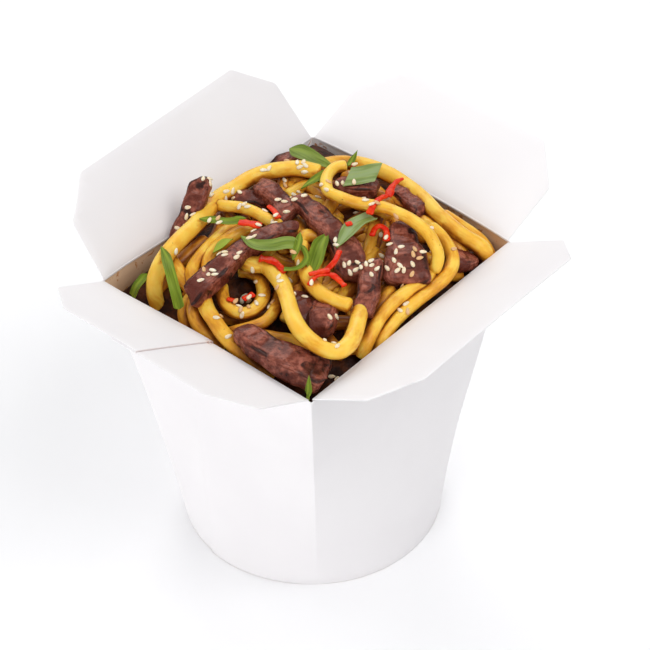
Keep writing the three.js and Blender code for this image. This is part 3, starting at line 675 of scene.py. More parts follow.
UPPER_NOODLES = [
    (2.4, [(-15, -36.5, 6), (-8, -41.5, 4), (-2.5, -44, 3.5), (2.5, -45.5, 2), (8, -46, 0),
           (13, -45.5, -2.5), (17, -45, -4.5), (22, -44, -7)]),
    (2.1, [(-11.5, -30.5, 4), (-9, -33, 3.5), (-5.5, -35.5, 3), (-1, -36.5, 3), (2.5, -35, 3),
           (3.5, -31, 3), (2, -26, 3), (-1.5, -22, 3), (-6, -19, 3), (-10, -19.5, 3),
           (-12.5, -21.5, 3)]),
    (1.9, [(-35, -6.5, 9), (-31, -5.5, 10), (-26.5, -3.5, 10.5), (-21, -3, 11), (-15.5, -3, 11),
           (-11.5, -2, 10)]),
    (2.2, [(23.5, 31, 8), (28.5, 30.5, 7), (34, 28.5, 5.5), (37.5, 25.5, 4), (39.3, 19.5, 3),
           (39.2, 12.5, 2.2), (38.4, 6, 1.2), (38, -1, 0), (38.6, -7, -0.8), (39.2, -12, -2.5),
           (39, -13.5, -6)]),
    (2.75, [(-19, 42.5, 5), (-13.5, 44.5, 5), (-8, 45.5, 5), (-2.5, 45.5, 5), (4.5, 44.5, 5),
           (11, 43, 5), (18, 40.5, 5), (24.5, 39, 4.5), (31, 38, 4), (37, 39, 2.5),
           (39.2, 40, 0), (39, 41, -4)]),
    (2.2, [(34.5, 20, 3.5), (35.8, 13.5, 3.5), (35, 6.5, 3.5), (34.5, 0, 3), (34.9, -6.5, 2),
           (36.6, -13, 1), (38, -18, -1), (37.8, -20, -5)]),
    (2.65, [(-12, -18.5, 6), (-8, -20.5, 8), (-4, -18, 8), (1.5, -19.5, 8.5), (7.5, -22.5, 9),
            (13, -26.5, 9), (19.5, -31.5, 9), (25.5, -34.5, 8.5), (31, -35.5, 8), (36, -35, 7.5),
            (39, -32.5, 7), (39.3, -28, 7), (37.4, -23, 7), (34, -17.3, 6.5), (30, -11.3, 4.5),
            (25, -2.5, 1.5)]),
    (2.4, [(0, -5, 11), (4, -9.5, 11), (7.5, -12, 10), (12.5, -15.5, 9), (18, -17, 8.5),
           (23.5, -16.5, 8), (29, -15, 8)]),
    (2, [(-13.5, 33, 12.5), (-15.5, 30, 12.5), (-15, 25.5, 12.5), (-12, 21, 13),
           (-8, 18, 13.5), (-3, 18, 14), (2, 19, 14), (6.5, 21, 14), (10.5, 23, 14),
           (16, 24, 14), (21.5, 24.5, 13.5), (27.5, 24, 12.5), (32, 22.5, 11), (35, 21, 8),
           (36, 17.5, 4)]),
    (2.65, [(-20, 27.5, 9.5), (-23.5, 25.5, 10), (-27, 23.5, 10), (-32.5, 17, 10),
           (-35.5, 11, 9.5), (-36, 3.5, 9.5), (-37, -3, 9), (-35.5, -10.5, 9), (-33.5, -18.5, 9),
           (-32.5, -25.5, 9), (-31.5, -32.5, 8.5), (-30.5, -38, 7), (-30, -41.5, 3),
           (-29, -43, -2), (-27.5, -43, -7)]),
]
DEEP_NOODLES = 95
DEEP_SEED = 5
DEEP_REACH = Vector((37, 43))
DEEP_STEP = 9
# The tone of a noodle is its share of sauce and painted shade. Lower layers start darker,
# and each mm below the top adds painted shade and sauce to it.
UPPER_SAUCE_AND_SHADE = 0
LOWER_SAUCE_AND_SHADE = 0.2
DEEP_SAUCE_AND_SHADE = 0.4
SHADE_AND_SAUCE_BELOW = 0.03
HEAP_TOP = 9
CUT_END = 0.6
CUT_END_PALER = 0.35
NOODLE_YELLOW = (0.94, 0.63, 0.095, 1)
NOODLE_GOLD = (0.90, 0.51, 0.05, 1)
NOODLE_ORANGE = (0.76, 0.33, 0.02, 1)
NOODLE_AMBER = (0.52, 0.18, 0.015, 1)
NOODLE_BROWN = (0.26, 0.065, 0.007, 1)
SPECK_BROWN = (0.10, 0.028, 0.006, 1)


def smooth_line(route, samples=16):
    """Many points along a smooth line through the few points of a route."""
    points = [Vector((x, y, HEIGHT + lift)) for x, y, lift in route]
    if len(points) == 2:
        points.insert(1, (points[0] + points[1]) / 2)
    before = 2 * points[0] - points[1]
    after = 2 * points[-1] - points[-2]
    knots = [before, *points, after]
    line = []
    for i in range(1, len(knots) - 2):
        first, second = knots[i], knots[i + 1]
        leave = first + (second - knots[i - 1]) / 6
        arrive = second - (knots[i + 2] - first) / 6
        line += geometry.interpolate_bezier(first, leave, arrive, second, samples)[:-1]
    return line + [points[-1]]


def stations_along(route, step, tip):
    """Places along a route about a step apart, closer at both ends, with their directions."""
    line = smooth_line(route)
    reached = [0]
    for first, second in zip(line, line[1:]):
        reached.append(reached[-1] + (second - first).length)
    length = reached[-1]
    ends = [tip * share for share in (0, 0.08, 0.3, 0.62)]
    count = max(2, round((length - 2 * tip) / step))
    middle = [mix(tip, length - tip, i / count) for i in range(count + 1)]
    stations = []
    i = 0
    for distance in ends + middle + [length - start for start in reversed(ends)]:
        while i < len(line) - 2 and reached[i + 1] < distance:
            i += 1
        share = (distance - reached[i]) / max(1e-6, reached[i + 1] - reached[i])
        before, after = line[max(0, i - 1)], line[min(len(line) - 1, i + 2)]
        forward = (after - before).normalized()
        side = Vector((0, 0, 1)).cross(forward).normalized()
        stations.append({
            "place": line[i].lerp(line[i + 1], share),
            "forward": forward,
            "side": side,
            "up": forward.cross(side),
            "from_start": distance,
            "to_finish": length - distance,
            "from_end": min(distance, length - distance),
            "share": distance / length,
        })
    return stations


def add_strand(bm, stations, sides, shape):
    """Rolls a flat sheet up round a route. The shape says how far each point of the skin
    is from the route: sideways, upwards and forwards, and its tone."""
    tone = bm.verts.layers.float.get("tone") or bm.verts.layers.float.new("tone")
    uv = bm.loops.layers.uv.get("UVMap") or bm.loops.layers.uv.new("UVMap")
    verts = bmesh.ops.create_grid(
        bm, x_segments=sides, y_segments=len(stations) - 1, size=0.5, calc_uvs=True
    )["verts"]
    faces = {face for vert in verts for face in vert.link_faces}
    for vert in verts:
        station = stations[round((vert.co.y + 0.5) * (len(stations) - 1))]
        sideways, upwards, forwards, vert[tone] = shape(station, vert.co.x + 0.5)
        place = station["place"] + sideways * station["side"] + upwards * station["up"]
        vert.co = (place + forwards * station["forward"]) * MM
    for face in faces:
        for loop in face.loops:
            station = stations[round(loop[uv].uv.y * (len(stations) - 1))]
            loop[uv].uv.y = station["from_start"] / 10
    bmesh.ops.remove_doubles(bm, verts=verts, dist=1e-6)


def close_ends(bm):
    """Closes the open ends of all strands and turns their faces outwards."""
    bmesh.ops.holes_fill(bm, edges=[edge for edge in bm.edges if edge.is_boundary], sides=0)
    bmesh.ops.recalc_face_normals(bm, faces=bm.faces)


def blunt(distance, rounding, smallest=0.62):
    """How much of its full size a strand has near a blunt, rounded end."""
    if distance >= rounding:
        return 1
    return mix(smallest, 1, math.sqrt(1 - (1 - distance / rounding) ** 2))


def noodle_shape(radius, number, sauce_and_shade):
    """A round section that swells and flattens a little, with its share of sauce and painted shade."""
    def shape(station, around):
        angle = 2 * math.pi * around
        spot = station["place"] * 0.11 + Vector((number * 7.3, 0, 0))
        size = radius * blunt(station["from_end"], NOODLE_END)
        size *= 1 + NOODLE_BULGE * noise.noise(spot)
        size *= 1 + NOODLE_FLATNESS * math.cos(2 * angle + 3 * noise.noise(spot * 0.6))
        below = max(0, HEIGHT + HEAP_TOP - station["place"].z)
        pale = CUT_END_PALER * max(0, 1 - station["from_end"] / CUT_END)
        # Painted shade and sauce: the tone darkens with the noodle's layer and with each mm below the
        # top of the heap.
        tone = sauce_and_shade + SHADE_AND_SAUCE_BELOW * below + 0.5 * noise.noise(spot * 1.7) - pale
        # Painted shade, partly sauce that runs down: the underside of a noodle is darker and its top
        # paler.
        tone -= 0.25 * math.sin(angle)
        return size * math.cos(angle), size * math.sin(angle), 0, tone
    return shape


def deep_noodles():
    """Short bent noodles strewn on the bed, which show in the gaps between the others."""
    draw = random.Random(DEEP_SEED)
    for _ in range(DEEP_NOODLES):
        spot = Vector((draw.uniform(-1, 1) * DEEP_REACH.x, draw.uniform(-1, 1) * DEEP_REACH.y))
        heading = draw.uniform(0, 2 * math.pi)
        bend = draw.uniform(-0.5, 0.5)
        lift = draw.uniform(-1.2, 1.4)
        route = []
        for _ in range(draw.randint(4, 6)):
            outside = abs(spot.x) > DEEP_REACH.x or abs(spot.y) > DEEP_REACH.y
            if outside or any((spot - Vector(well)).length < WELL_CLEARANCE for well in WELLS):
                break
            route.append((spot.x, spot.y, bed_top(spot.x, spot.y) + lift))
            spot = spot + DEEP_STEP * Vector((math.cos(heading), math.sin(heading)))
            heading += bend
        if len(route) > 2:
            yield NOODLE_RADIUS, route


noodle_skin, tree, shader = new_finish("noodle_skin", {
    "Subsurface Weight": 0.22,
    "Subsurface Radius": (1, 0.55, 0.16),
    "Subsurface Scale": 2.2 * MM,
    "Specular IOR Level": 0.18,
    "Coat Weight": 0.18,
    "Coat Roughness": 0.14,
})
place = millimetres(tree)
tone = add(tree, "ShaderNodeAttribute", attribute_name="tone").outputs["Fac"]
along = add(tree, "ShaderNodeUVMap", uv_map="UVMap").outputs["UV"]
streaks = add(tree, "ShaderNodeMapping", {"Vector": along, "Scale": (14, 3, 1)}).outputs["Vector"]
patches = rise(tree, mottle(tree, place, 0.16), 0.35, 0.68)
color = mix_colors(tree, patches, NOODLE_YELLOW, NOODLE_GOLD)
# The sauce tone also carries painted shade from depth, undersides and covered places.
sauce_and_shade = math_of(tree, "ADD", tone, math_of(tree, "MULTIPLY", mottle(tree, streaks, 1, 4), 0.9))
color = mix_colors(tree, rise(tree, sauce_and_shade, 0.3, 0.75, 0, 0.85), color, NOODLE_ORANGE)
color = mix_colors(tree, rise(tree, sauce_and_shade, 0.65, 1.15, 0, 0.9), color, NOODLE_AMBER)
color = mix_colors(tree, rise(tree, sauce_and_shade, 1, 1.6, 0, 0.9), color, NOODLE_BROWN)
specks = rise(tree, mottle(tree, place, 1.3, 2), 0.735, 0.775)
color = mix_colors(tree, specks, color, SPECK_BROWN)
tree.links.new(color, shader.inputs["Base Color"])
roughness = rise(tree, mottle(tree, place, 0.5), 0.3, 0.7, 0.28, 0.46)
tree.links.new(roughness, shader.inputs["Roughness"])
bump(tree, shader, mottle(tree, streaks, 2.2, 5), 0.12, 0.6)

for name, noodles, first_number, sauce_and_shade in (
    ("noodles_deep", deep_noodles(), 100, DEEP_SAUCE_AND_SHADE),
    ("noodles_lower", LOWER_NOODLES, 0, LOWER_SAUCE_AND_SHADE),
    ("noodles_upper", UPPER_NOODLES, 0, UPPER_SAUCE_AND_SHADE),
):
    bm = bmesh.new()
    for number, (radius, route) in enumerate(noodles, first_number):
        stations = stations_along(route, NOODLE_STEP, NOODLE_END)
        add_strand(bm, stations, NOODLE_SIDES, noodle_shape(radius, number, sauce_and_shade))
    close_ends(bm)
    make_piece(name, bm, [noodle_skin], "filled_box", ["noodles"])

# ---- The beef: hand-cut strips, seared and glazed ----
# Each strip is cut across the grain, so its fibres run over it in fine ridges. The edges
# are charred nearly black and the faces are brown, wet with soy glaze. The dents and
# creases are painted near black as well, as painted shade.
BEEF_STEP = 0.4
BEEF_TIP = 2
BEEF_SIDES = 56
BEEF_SQUARENESS = 0.45
# Width at the start, width at the end, thickness and route.
BEEF = [
    (8, 7, 5, [(33, 26, 3), (37, 31, 1), (38, 36, -2)]),
    (6, 7, 5, [(-12, 25, 10), (-5, 28.5, 10), (-0.5, 34, 9)]),
    (5, 6.5, 5, [(-0.5, 41, 4), (7, 39.5, 4.5), (16, 37, 5)]),
    (7, 6, 5, [(-38.5, 25, 2), (-38, 30, 3), (-35.5, 35, 2.5)]),
    (8, 7, 6, [(10, -19, 4), (16, -23, 4), (21.5, -26.5, 3)]),
    (8, 9, 7, [(19, -16, 4.5), (23.5, -22, 4.5), (27.5, -28, 3.5)]),
    (8, 6.5, 4.5, [(-38, -22, 0), (-38.5, -18, 5), (-38.8, -12, 12), (-39.5, -8, 18.5)]),
    (6, 7, 4.5, [(-33, -1.5, 7), (-30.5, 2, 8), (-27, 4.5, 8), (-23, 4, 8)]),
    (7, 8, 5, [(-31, 8.5, 9.5), (-25, 8, 10.5), (-18.5, 6, 11), (-12, 2.5, 10)]),
    (6, 18, 5.5, [(16, 24.5, 8), (20, 21, 8), (25, 16.5, 7.5), (30, 11.5, 6.5), (33.3, 7.8, 4)]),
    (7, 10.5, 5, [(-15, 9.5, 12.5), (-9.5, 9, 12), (-3.5, 8, 11.5), (3.5, 6, 10.5),
                  (9.5, 4, 9.5), (15.5, 1, 8), (20, -3, 6)]),
    (8.5, 6, 5, [(20.5, 5, 8), (25, -0.5, 7.5), (28.5, -6, 6.5), (30.8, -10.5, 5),
                 (32.5, -14.5, 3.5)]),
    (7.5, 14, 6.5, [(7.5, -42.5, 3), (16, -43.5, 3.5), (24, -43.3, 3.5), (32, -41.5, 2.5),
                    (39, -38.5, 1)]),
    (8.5, 6, 6, [(-12.5, -44, 6), (-12.3, -39, 8.5), (-12, -30.5, 10), (-12, -23, 11),
                 (-10.5, -15.5, 12), (-8, -8.5, 12.5), (-4.5, -2, 12)]),
]
BEEF_UNEVENNESS = 0.18
BEEF_END = 2.5
BEEF_END_SIZE = 0.5
LUMP_DEPTH = 1
DENT_DEPTH = 0.35
PIT_DEPTH = 0.07
FIBRE_DEPTH = 0.08
FIBRE_WIDTH = 0.65
CREASE_DEPTH = 0.35
TEAR_DEPTH = 1.4
TEAR_REACH = 3
BEEF_SLANT = 0.5
BEEF_RED = (0.16, 0.034, 0.018, 1)
BEEF_TAN = (0.41, 0.128, 0.082, 1)
BEEF_BROWN = (0.10, 0.018, 0.010, 1)
BEEF_CHAR_AND_SHADE = (0.016, 0.005, 0.004, 1)


def bent(value, squareness):
    """A sine or cosine, pushed out towards the corners of a square."""
    return math.copysign(abs(value) ** squareness, value)


def make_topping(node, kind, stations, sides, shape, skin):
    """One strip, blade or shred, which takes the place of its node."""
    bm = bmesh.new()
    add_strand(bm, stations, sides, shape)
    close_ends(bm)
    make_piece(f"{node}_{kind}", bm, [skin], "filled_box", [node])


def beef_shape(start_width, end_width, thickness, number):
    """A squarish section with lumps, creases and fibres. The tone is the relief, less
    where the edges of the strip are charred, and the skin paints its low places dark as
    painted shade."""
    def shape(station, around):
        angle = 2 * math.pi * around
        cosine, sine = math.cos(angle), math.sin(angle)
        along = station["from_start"]
        width = mix(start_width, end_width, station["share"])
        uneven = 1 + BEEF_UNEVENNESS * noise.noise(Vector((0.12 * along, 5.3 * number, 0)))
        end = blunt(station["from_end"], BEEF_END, BEEF_END_SIZE)
        across = width / 2 * uneven * end * bent(cosine, BEEF_SQUARENESS)
        above = thickness / 2 / uneven * end * bent(sine, BEEF_SQUARENESS)
        spot = station["place"] + across * station["side"] + above * station["up"]
        spot += Vector((0, 0, 40 * number))
        fold = noise.noise(spot * 0.15 + Vector((9, 0, 0)))
        crease = max(0, 1 - abs(fold) / 0.06) ** 2
        fibre = noise.noise(Vector((
            0.12 * along + 3 * number,
            (across + 0.4 * above) / FIBRE_WIDTH,
            0.5 * above,
        )))
        relief = LUMP_DEPTH * noise.noise(spot * 0.12) + DENT_DEPTH * noise.noise(spot * 0.3)
        relief += FIBRE_DEPTH * fibre - CREASE_DEPTH * crease + PIT_DEPTH * noise.noise(spot * 1.3)
        torn = TEAR_DEPTH * noise.noise(spot * 0.25)
        torn += BEEF_SLANT * across * math.sin(2.1 * number)
        torn *= max(0, 1 - station["from_end"] / TEAR_REACH)
        charred = max(0, abs(math.sin(2 * angle)) - 0.7) * (1 + 2.5 * noise.noise(spot * 0.2))
        return across + relief * cosine, above + relief * sine, torn, relief - 2 * charred
    return shape


beef_skin, tree, shader = new_finish("beef_skin", {
    "Specular IOR Level": 0.1,
    "Coat Weight": 0.25,
    "Coat Roughness": 0.08,
    "Subsurface Weight": 0.06,
    "Subsurface Radius": (1, 0.3, 0.2),
    "Subsurface Scale": 1.2 * MM,
})
place = millimetres(tree)
relief = add(tree, "ShaderNodeAttribute", attribute_name="tone").outputs["Fac"]
along = add(tree, "ShaderNodeUVMap", uv_map="UVMap").outputs["UV"]
fibres = add(tree, "ShaderNodeMapping", {"Vector": along, "Scale": (26, 5, 1)}).outputs["Vector"]
fibre = mottle(tree, fibres, 1, 5, 0.4)
color = mix_colors(tree, rise(tree, fibre, 0.32, 0.7), BEEF_RED, BEEF_TAN)
browned = rise(tree, mottle(tree, place, 0.13, 3), 0.46, 0.6, 0, 0.85)
color = mix_colors(tree, browned, color, BEEF_BROWN)
glaze = rise(tree, mottle(tree, place, 0.7, 4), 0.5, 0.7, 0, 0.6)
color = mix_colors(tree, glaze, color, BEEF_BROWN)
charred = rise(tree, mottle(tree, place, 0.2, 4, 0.5), 0.58, 0.68, 0, 0.9)
color = mix_colors(tree, charred, color, BEEF_CHAR_AND_SHADE)
# Painted shade: the low places of the relief, in dents and creases, are painted near black.
color = mix_colors(tree, rise(tree, relief, -1, -0.25, 0.85, 0), color, BEEF_CHAR_AND_SHADE)
tree.links.new(color, shader.inputs["Base Color"])
roughness = rise(tree, mottle(tree, place, 0.7), 0.35, 0.65, 0.26, 0.5)
tree.links.new(roughness, shader.inputs["Roughness"])
grain = math_of(tree, "ADD", fibre, math_of(tree, "MULTIPLY", mottle(tree, place, 2.4, 4), 0.7))
bump(tree, shader, grain, 0.45, 0.9)

for number, (start_width, end_width, thickness, route) in enumerate(BEEF):
    stations = stations_along(route, BEEF_STEP, BEEF_TIP)
    shape = beef_shape(start_width, end_width, thickness, number)
    node = f"beef_{number + 1:02d}"
    make_topping(node, "strip", stations, BEEF_SIDES, shape, beef_skin)

# ---- The spring onion: green tops, cut on the slant ----
# Each cut is one layer of a hollow leaf: a thin cupped blade, smooth and dark outside and
# paler and brighter inside, with fine veins along it.
LEAF_THICKNESS = 0.8
LEAF_STEP = 0.5
LEAF_TIP = 0.6
LEAF_SIDES = 40
LEAF_WAVE = 0.25
LEAF_SLANT = 0.3
# Width, how far the blade cups across, how far it rolls to its left in degrees, the length
# of the point at its start and at its end (0 where it is cut straight), the look of the
# face that lies upwards, and its route.
ONION = [
    (6, 1, 15, 5, 14, "dull", [(-37, 31.5, 8), (-32, 31.5, 9), (-26, 31, 10), (-21, 31, 10.5),
                               (-17, 31.5, 10)]),
    (2.8, 0.5, 10, 7, 1, "green", [(-18, 15.5, 11), (-17, 21, 12), (-16, 27, 12)]),
    (6.8, 0.5, 20, 0, 0, "waxy", [(-8, 27, 14), (-4.5, 31, 14.5), (-1.5, 35, 14.5)]),
    (2.2, 0.3, 0, 1, 6, "green", [(-16, 37, 8.5), (-17, 41, 9), (-18, 44, 10)]),
    (6.2, 1.4, -10, 11, 1, "waxy", [(10.5, 0, 12), (9.5, 6.5, 12.5), (9, 12.5, 12.5),
                                    (10, 19, 12)]),
    (5, 1.6, 0, 7, 7, "green", [(4, 3, 12.5), (6.5, -3.5, 12), (9.5, -9, 11.5),
                                (12.5, -15.5, 10.5)]),
    (3, 0.4, 10, 5, 3, "green", [(-32, -18, 12), (-27.5, -16, 12.5), (-23, -13.5, 13),
                                 (-19.5, -9.5, 13.5)]),
    (4.4, 0.8, 15, 10, 3, "dull", [(-14, -18, 14.5), (-7, -19, 15.5), (-2.5, -16.5, 16),
                                   (0.5, -12.5, 16), (4, -10, 15.5)]),
    (2.6, 0.4, 0, 4, 4, "green", [(1, -6.5, 17), (4, -11.5, 16), (5.5, -15.5, 14)]),
    (2.6, 0.8, 0, 4, 4, "inside", [(-19, -26, 10), (-19, -21.5, 10.5), (-18.5, -17, 10.5)]),
    (3.4, 0.6, 15, 8, 1, "green", [(-33, -35, 11), (-28, -38, 11), (-22, -42.5, 11.5),
                                   (-17.5, -45.5, 9), (-14, -47.3, 3.5)]),
    (3.8, 0.6, 0, 0, 2, "green", [(-35, -47, -3.5), (-34, -45, 0.5), (-33, -42, 4)]),
    (2.8, 0.3, 0, 2, 9, "green", [(40.2, -48.2, -3), (40.3, -48.1, 2.5), (40, -47.7, 8)]),
    (2, 0.2, 0, 2, 0, "green", [(2.5, -9.5, 14.5), (5.5, -10, 14.5), (8, -11.5, 13.5),
                                (8.5, -14.5, 13), (7.5, -17, 12.5), (5, -19, 12)]),
]
LEAF_DARK = (0.10, 0.155, 0.010, 1)
LEAF_GREEN = (0.25, 0.33, 0.03, 1)
LEAF_WAX = (0.29, 0.37, 0.17, 1)
LEAF_INSIDE = (0.34, 0.42, 0.05, 1)
# The tone of a face: 0 inside the leaf, 1 on its plain outside, 2 under a waxy bloom.
LEAF_FACES = {"inside": 0, "green": 1, "dull": 1.35, "waxy": 2}


def pointed(distance, point):
    """How much of its full width a blade has at this distance from its tip."""
    if distance >= point:
        return 1
    return mix(0.08, 1, math.sin(math.pi / 2 * distance / point))


def leaf_shape(width, cup, roll, points, face_up, number):
    """A thin cupped blade. The tone says what each of its faces looks like."""
    def shape(station, around):
        angle = 2 * math.pi * around
        across, face = math.cos(angle), math.sin(angle)
        start = pointed(station["from_start"], points[0])
        belly = min(start, pointed(station["to_finish"], points[1]))
        slide = LEAF_SLANT * width * across if points == (0, 0) else 0
        wave = LEAF_WAVE * math.sin(7 * station["share"] + number + across)
        thick = LEAF_THICKNESS / 2 * bent(face, 0.8) * mix(0.5, 1, belly)
        sideways = width / 2 * belly * across
        upwards = cup * belly * across ** 2 + wave + thick
        lean = math.radians(roll)
        tone = LEAF_FACES[face_up] if face > 0 else 1 if face_up == "inside" else 0
        return (
            sideways * math.cos(lean) - upwards * math.sin(lean),
            sideways * math.sin(lean) + upwards * math.cos(lean),
            slide,
            tone,
        )
    return shape


leaf_skin, tree, shader = new_finish("leaf_skin", {
    "Roughness": 0.36,
    "Specular IOR Level": 0.1,
    "Subsurface Weight": 0.2,
    "Subsurface Radius": (0.4, 1, 0.2),
    "Subsurface Scale": 1 * MM,
})
place = millimetres(tree)
along = add(tree, "ShaderNodeUVMap", uv_map="UVMap").outputs["UV"]
veins = add(tree, "ShaderNodeMapping", {"Vector": along, "Scale": (40, 0.9, 1)}).outputs["Vector"]
side_of_leaf = add(tree, "ShaderNodeAttribute", attribute_name="tone").outputs["Fac"]
bands = add(tree, "ShaderNodeMapping", {"Vector": along, "Scale": (7, 0.5, 1)}).outputs["Vector"]
patches = rise(tree, mottle(tree, bands, 1, 2), 0.36, 0.64)
color = mix_colors(tree, patches, LEAF_DARK, LEAF_GREEN)
bloom = math_of(tree, "MULTIPLY", rise(tree, side_of_leaf, 1, 2), rise(tree, patches, 0, 0.6, 0.45, 1))
color = mix_colors(tree, bloom, color, LEAF_WAX)
color = mix_colors(tree, rise(tree, side_of_leaf, 0, 1, 0.9, 0), color, LEAF_INSIDE)
vein = rise(tree, mottle(tree, veins, 1, 2), 0.45, 0.7, 0, 0.3)
color = mix_colors(tree, vein, color, LEAF_INSIDE)
tree.links.new(color, shader.inputs["Base Color"])
bump(tree, shader, mottle(tree, veins, 1.5, 2), 0.12, 0.6)

for number, (width, cup, roll, start_point, end_point, face_up, route) in enumerate(ONION):
    stations = stations_along(route, LEAF_STEP, LEAF_TIP)
    shape = leaf_shape(width, cup, roll, (start_point, end_point), face_up, number)
    node = f"onion_{number + 1:02d}"
    make_topping(node, "blade", stations, LEAF_SIDES, shape, leaf_skin)

# ---- The chilli: thin rings and shreds of red pepper ----
# A long red chilli is cut across, so most pieces are arcs of its wall: glossy red outside
# and a little paler and wetter inside, though both faces of a shred are drawn alike.
CHILLI_THICKNESS = 0.9
CHILLI_STEP = 0.5
CHILLI_TIP = 0.5
CHILLI_SIDES = 16
# Width at the start, width at the end and route.
CHILLI = [
    (3, 3.4, [(-20.5, -12, 13.2), (-17.5, -10.5, 13.4), (-13.5, -9, 13.5)]),
    (1.6, 2.4, [(-18.5, 0, 13.5), (-15, -1, 13.8), (-11.5, -3, 14)]),
    (4, 2, [(-5, -19.5, 11.5), (-2, -18, 11.6), (1.5, -18, 11.6), (5.5, -19.5, 11.4)]),
    (2.2, 2.2, [(-4.5, -35.5, 5.5), (-1.5, -34.5, 5.5)]),
    (2.2, 2.6, [(-0.5, -32.5, 5.5), (0.5, -28.5, 5.7)]),
    (1.6, 3, [(3, 42.5, 10), (2, 40, 9.5), (3, 36, 9.5), (5, 32.5, 9.5)]),
    (1.8, 2.4, [(8.5, 27.5, 15), (8, 24.5, 15.5), (9, 20, 16), (10, 16.5, 15)]),
    (2, 2.4, [(14.5, 12.5, 11), (13, 16, 11), (13.5, 18, 11), (16, 18, 10.5), (19, 14.5, 10)]),
    (2, 2, [(6.5, 9, 13.5), (7.5, 11, 13.5)]),
    (1.6, 2, [(14, -12, 11), (15, -9, 12), (15, -6, 13), (13, -1.5, 13)]),
    (1.6, 2.2, [(16, -20, 12.5), (15.5, -16.5, 13), (16.5, -13.5, 13), (19, -11.5, 12.5),
                (24.5, -12.5, 12)]),
    (1.8, 2.4, [(13.5, -17, 13.5), (15, -14, 13.5), (17, -11, 13.5)]),
    (2, 2, [(-15, 37.5, 9.5), (-13.5, 38, 9.5)]),
]
CHILLI_RED = (0.68, 0.016, 0.003, 1)
CHILLI_ORANGE = (0.80, 0.055, 0.005, 1)


def chilli_shape(start_width, end_width):
    """A flat strip with rounded edges that goes from one width to the other."""
    def shape(station, around):
        angle = 2 * math.pi * around
        size = blunt(station["from_end"], 0.6)
        size *= 0.92 + 0.35 * noise.noise(station["place"] * 0.5)
        width = mix(start_width, end_width, station["share"])
        across = width / 2 * size * bent(math.cos(angle), 0.8)
        above = CHILLI_THICKNESS / 2 * size * bent(math.sin(angle), 0.8)
        return across, above, 0, 0.5 + 0.5 * math.sin(angle)
    return shape


chilli_skin, tree, shader = new_finish("chilli_skin", {
    "Specular IOR Level": 0.1,
    "Subsurface Weight": 0.15,
    "Subsurface Radius": (1, 0.12, 0.06),
    "Subsurface Scale": 1.2 * MM,
    "Coat Weight": 0.12,
    "Coat Roughness": 0.08,
})
place = millimetres(tree)
patches = rise(tree, mottle(tree, place, 0.5, 3), 0.35, 0.7)
color = mix_colors(tree, patches, CHILLI_RED, CHILLI_ORANGE)
tree.links.new(color, shader.inputs["Base Color"])
roughness = rise(tree, mottle(tree, place, 1), 0.3, 0.7, 0.18, 0.36)
tree.links.new(roughness, shader.inputs["Roughness"])
bump(tree, shader, mottle(tree, place, 1.2, 3), 0.2, 0.6)

for number, (start_width, end_width, route) in enumerate(CHILLI):
    stations = stations_along(route, CHILLI_STEP, CHILLI_TIP)
    shape = chilli_shape(start_width, end_width)
    node = f"chilli_{number + 1:02d}"
    make_topping(node, "shred", stations, CHILLI_SIDES, shape, chilli_skin)

# ---- The sauce and painted shade: darkening where the noodles are covered ----
# Soy clings between the strands and under the toppings, and shade is painted there as well,
# so a noodle is the darker the more of the space around it is taken up by other food.
SHADE_AND_SAUCE_GATHERED = 1.1
SHADE_AND_SAUCE_REACH = 4.5
RAY_START = 0.15
RAY_TILTS = [(0, 0, 0), (0.9, 0, 0), (-0.9, 0, 0), (0, 0.9, 0), (0, -0.9, 0)]

surface = bmesh.new()
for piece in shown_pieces():
    if piece.name.startswith(("noodle", "beef", "onion", "chilli")):
        surface.from_mesh(piece.data)
ground = BVHTree.FromBMesh(surface)
surface.free()
for name in ("noodles_deep", "noodles_lower", "noodles_upper"):
    mesh = bpy.data.objects[name].data
    tone = mesh.attributes["tone"].data
    for vert in mesh.vertices:
        start = vert.co + RAY_START * MM * vert.normal
        covered = 0
        for tilt in RAY_TILTS:
            direction = (vert.normal + Vector(tilt)).normalized()
            if ground.ray_cast(start, direction, SHADE_AND_SAUCE_REACH * MM)[0]:
                covered += 1 / len(RAY_TILTS)
        # Painted shade with some soy: each covered ray darkens the noodle's tone.
        tone[vert.index].value += SHADE_AND_SAUCE_GATHERED * covered

# ---- The sesame: hulled seeds, strewn over the top ----
# A seed is a flat drop with one pointed end, cream white, and here and there one is
# toasted darker. The seeds stick where they fall, flat on what is under them.
SEED_SIZE = Vector((2.5, 1.6, 0.9))
SEED_SINK = 0.25
SEED_START = 7
SEED_STEEPEST = 0.12
SEED_APART = 1.7
SEED_TRIES = 3
SEED_TAPER = 0.3
TOASTED_SHARE = 0.14
TOASTED = 0.75
BARELY_TOASTED = 0.12
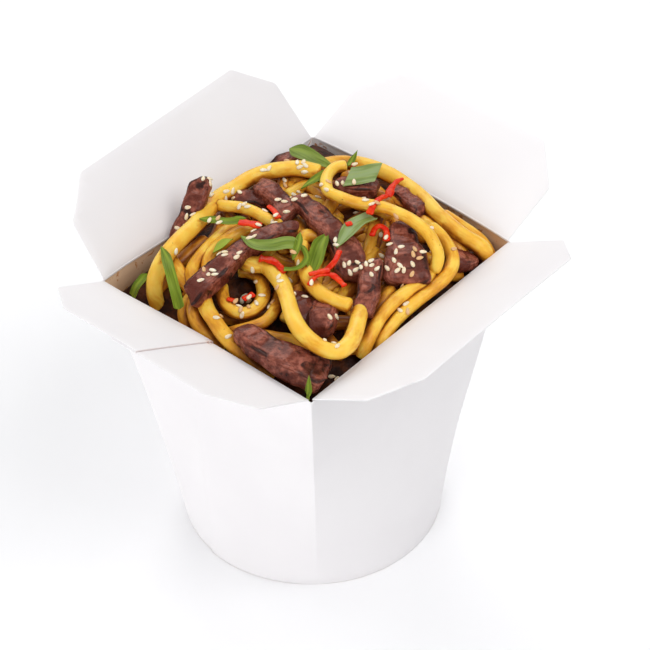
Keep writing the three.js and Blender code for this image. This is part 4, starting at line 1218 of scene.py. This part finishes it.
# Middle x, middle y, spread and count of each drift.
SESAME = [
    (-38.5, -7, 3, 6), (-35, -0.5, 3, 7), (-37, -18, 3, 5), (-29, 16, 4, 6), (-25, 23, 3, 5),
    (-34, 28, 2, 1), (-20.5, 16, 3, 4), (-16.5, 6, 4, 5), (-26, -5, 3, 4), (-13.5, -5.5, 5, 8),
    (-13, -15, 4, 5), (-26.5, -15.5, 3, 3), (-13, -25.5, 3, 3), (-13, -36, 4, 5),
    (-29.5, -32, 1, 1), (4, -15, 3, 3), (-7.5, -23.5, 4, 8), (0.5, -32.5, 5, 8),
    (6, -25.5, 4, 7), (0, -42, 3, 4), (6, -46, 1, 1), (14.5, -21, 3, 3), (-11, 21.5, 7, 9),
    (1.5, 25, 6, 8), (-13.5, 11.5, 3, 4), (10, 19.5, 3, 3), (22, 13, 5, 6), (30, 8, 4.5, 8),
    (31.5, 16, 4, 4), (24, 1.5, 4, 5), (18, -1.5, 4, 6), (8.5, 1.5, 2, 2), (16.5, 23, 1, 1),
    (29, 26, 2, 2), (35, 28, 2, 1), (27, -22.5, 3, 2), (36, -32, 3, 5), (39, 0, 3, 4),
    (14, -36.5, 2, 1), (-16, 37, 3, 2), (26, -8, 2, 1),
]
SEED_CREAM = (0.94, 0.86, 0.68, 1)
SEED_BUFF = (0.84, 0.67, 0.41, 1)
SEED_TOAST = (0.70, 0.34, 0.09, 1)


def drawer(state):
    """A small repeatable source of numbers from 0 to 1."""
    while True:
        state = state * 16807 % 2147483647
        yield state / 2147483647


sesame_skin, tree, shader = new_finish("sesame_skin", {
    "Roughness": 0.42,
    "Specular IOR Level": 0.45,
    "Subsurface Weight": 0.2,
    "Subsurface Radius": (1, 0.7, 0.4),
    "Subsurface Scale": 0.8 * MM,
})
toast = add(tree, "ShaderNodeAttribute", attribute_name="tone").outputs["Fac"]
grain = rise(tree, mottle(tree, millimetres(tree), 1.2, 3), 0.35, 0.7)
color = mix_colors(tree, grain, SEED_CREAM, SEED_BUFF)
color = mix_colors(tree, toast, color, SEED_TOAST)
tree.links.new(color, shader.inputs["Base Color"])

draw = drawer(SEED_START)
laid = []
bm = bmesh.new()
tone = bm.verts.layers.float.new("tone")
for x, y, spread, count in SESAME:
    enough = len(laid) + count
    for _ in range(SEED_TRIES * count):
        if len(laid) == enough:
            break
        spot_x = x + spread * (next(draw) + next(draw) - 1)
        spot_y = y + spread * (next(draw) + next(draw) - 1)
        turn = math.pi * next(draw)
        start = Vector((spot_x, spot_y, 2 * HEIGHT)) * MM
        point, normal, _, _ = ground.ray_cast(start, Vector((0, 0, -1)))
        if point is None or normal.z < SEED_STEEPEST:
            continue
        if any((point - other).length < SEED_APART * MM for other in laid):
            continue
        laid.append(point)
        seed = bmesh.ops.create_icosphere(bm, subdivisions=2, radius=0.5)["verts"]
        is_toasted = (spot_x * 7 + spot_y * 3) % 1 < TOASTED_SHARE
        toasted = TOASTED if is_toasted else BARELY_TOASTED * (spot_x % 1)
        for vert in seed:
            slimmer = 1 - SEED_TAPER * (vert.co.x + 0.5)
            shape = Vector((vert.co.x, vert.co.y * slimmer, vert.co.z * slimmer))
            vert.co = shape * SEED_SIZE * MM
            vert[tone] = toasted
        tilt = Vector((0, 0, 1)).rotation_difference(normal).to_matrix().to_4x4()
        lift = (SEED_SIZE.z / 2 - SEED_SINK) * MM
        place = Matrix.Translation(point + lift * normal) @ tilt @ Matrix.Rotation(turn, 4, "Z")
        bmesh.ops.transform(bm, matrix=place, verts=seed)
make_piece("sesame_seeds", bm, [sesame_skin], "filled_box", ["noodles"])
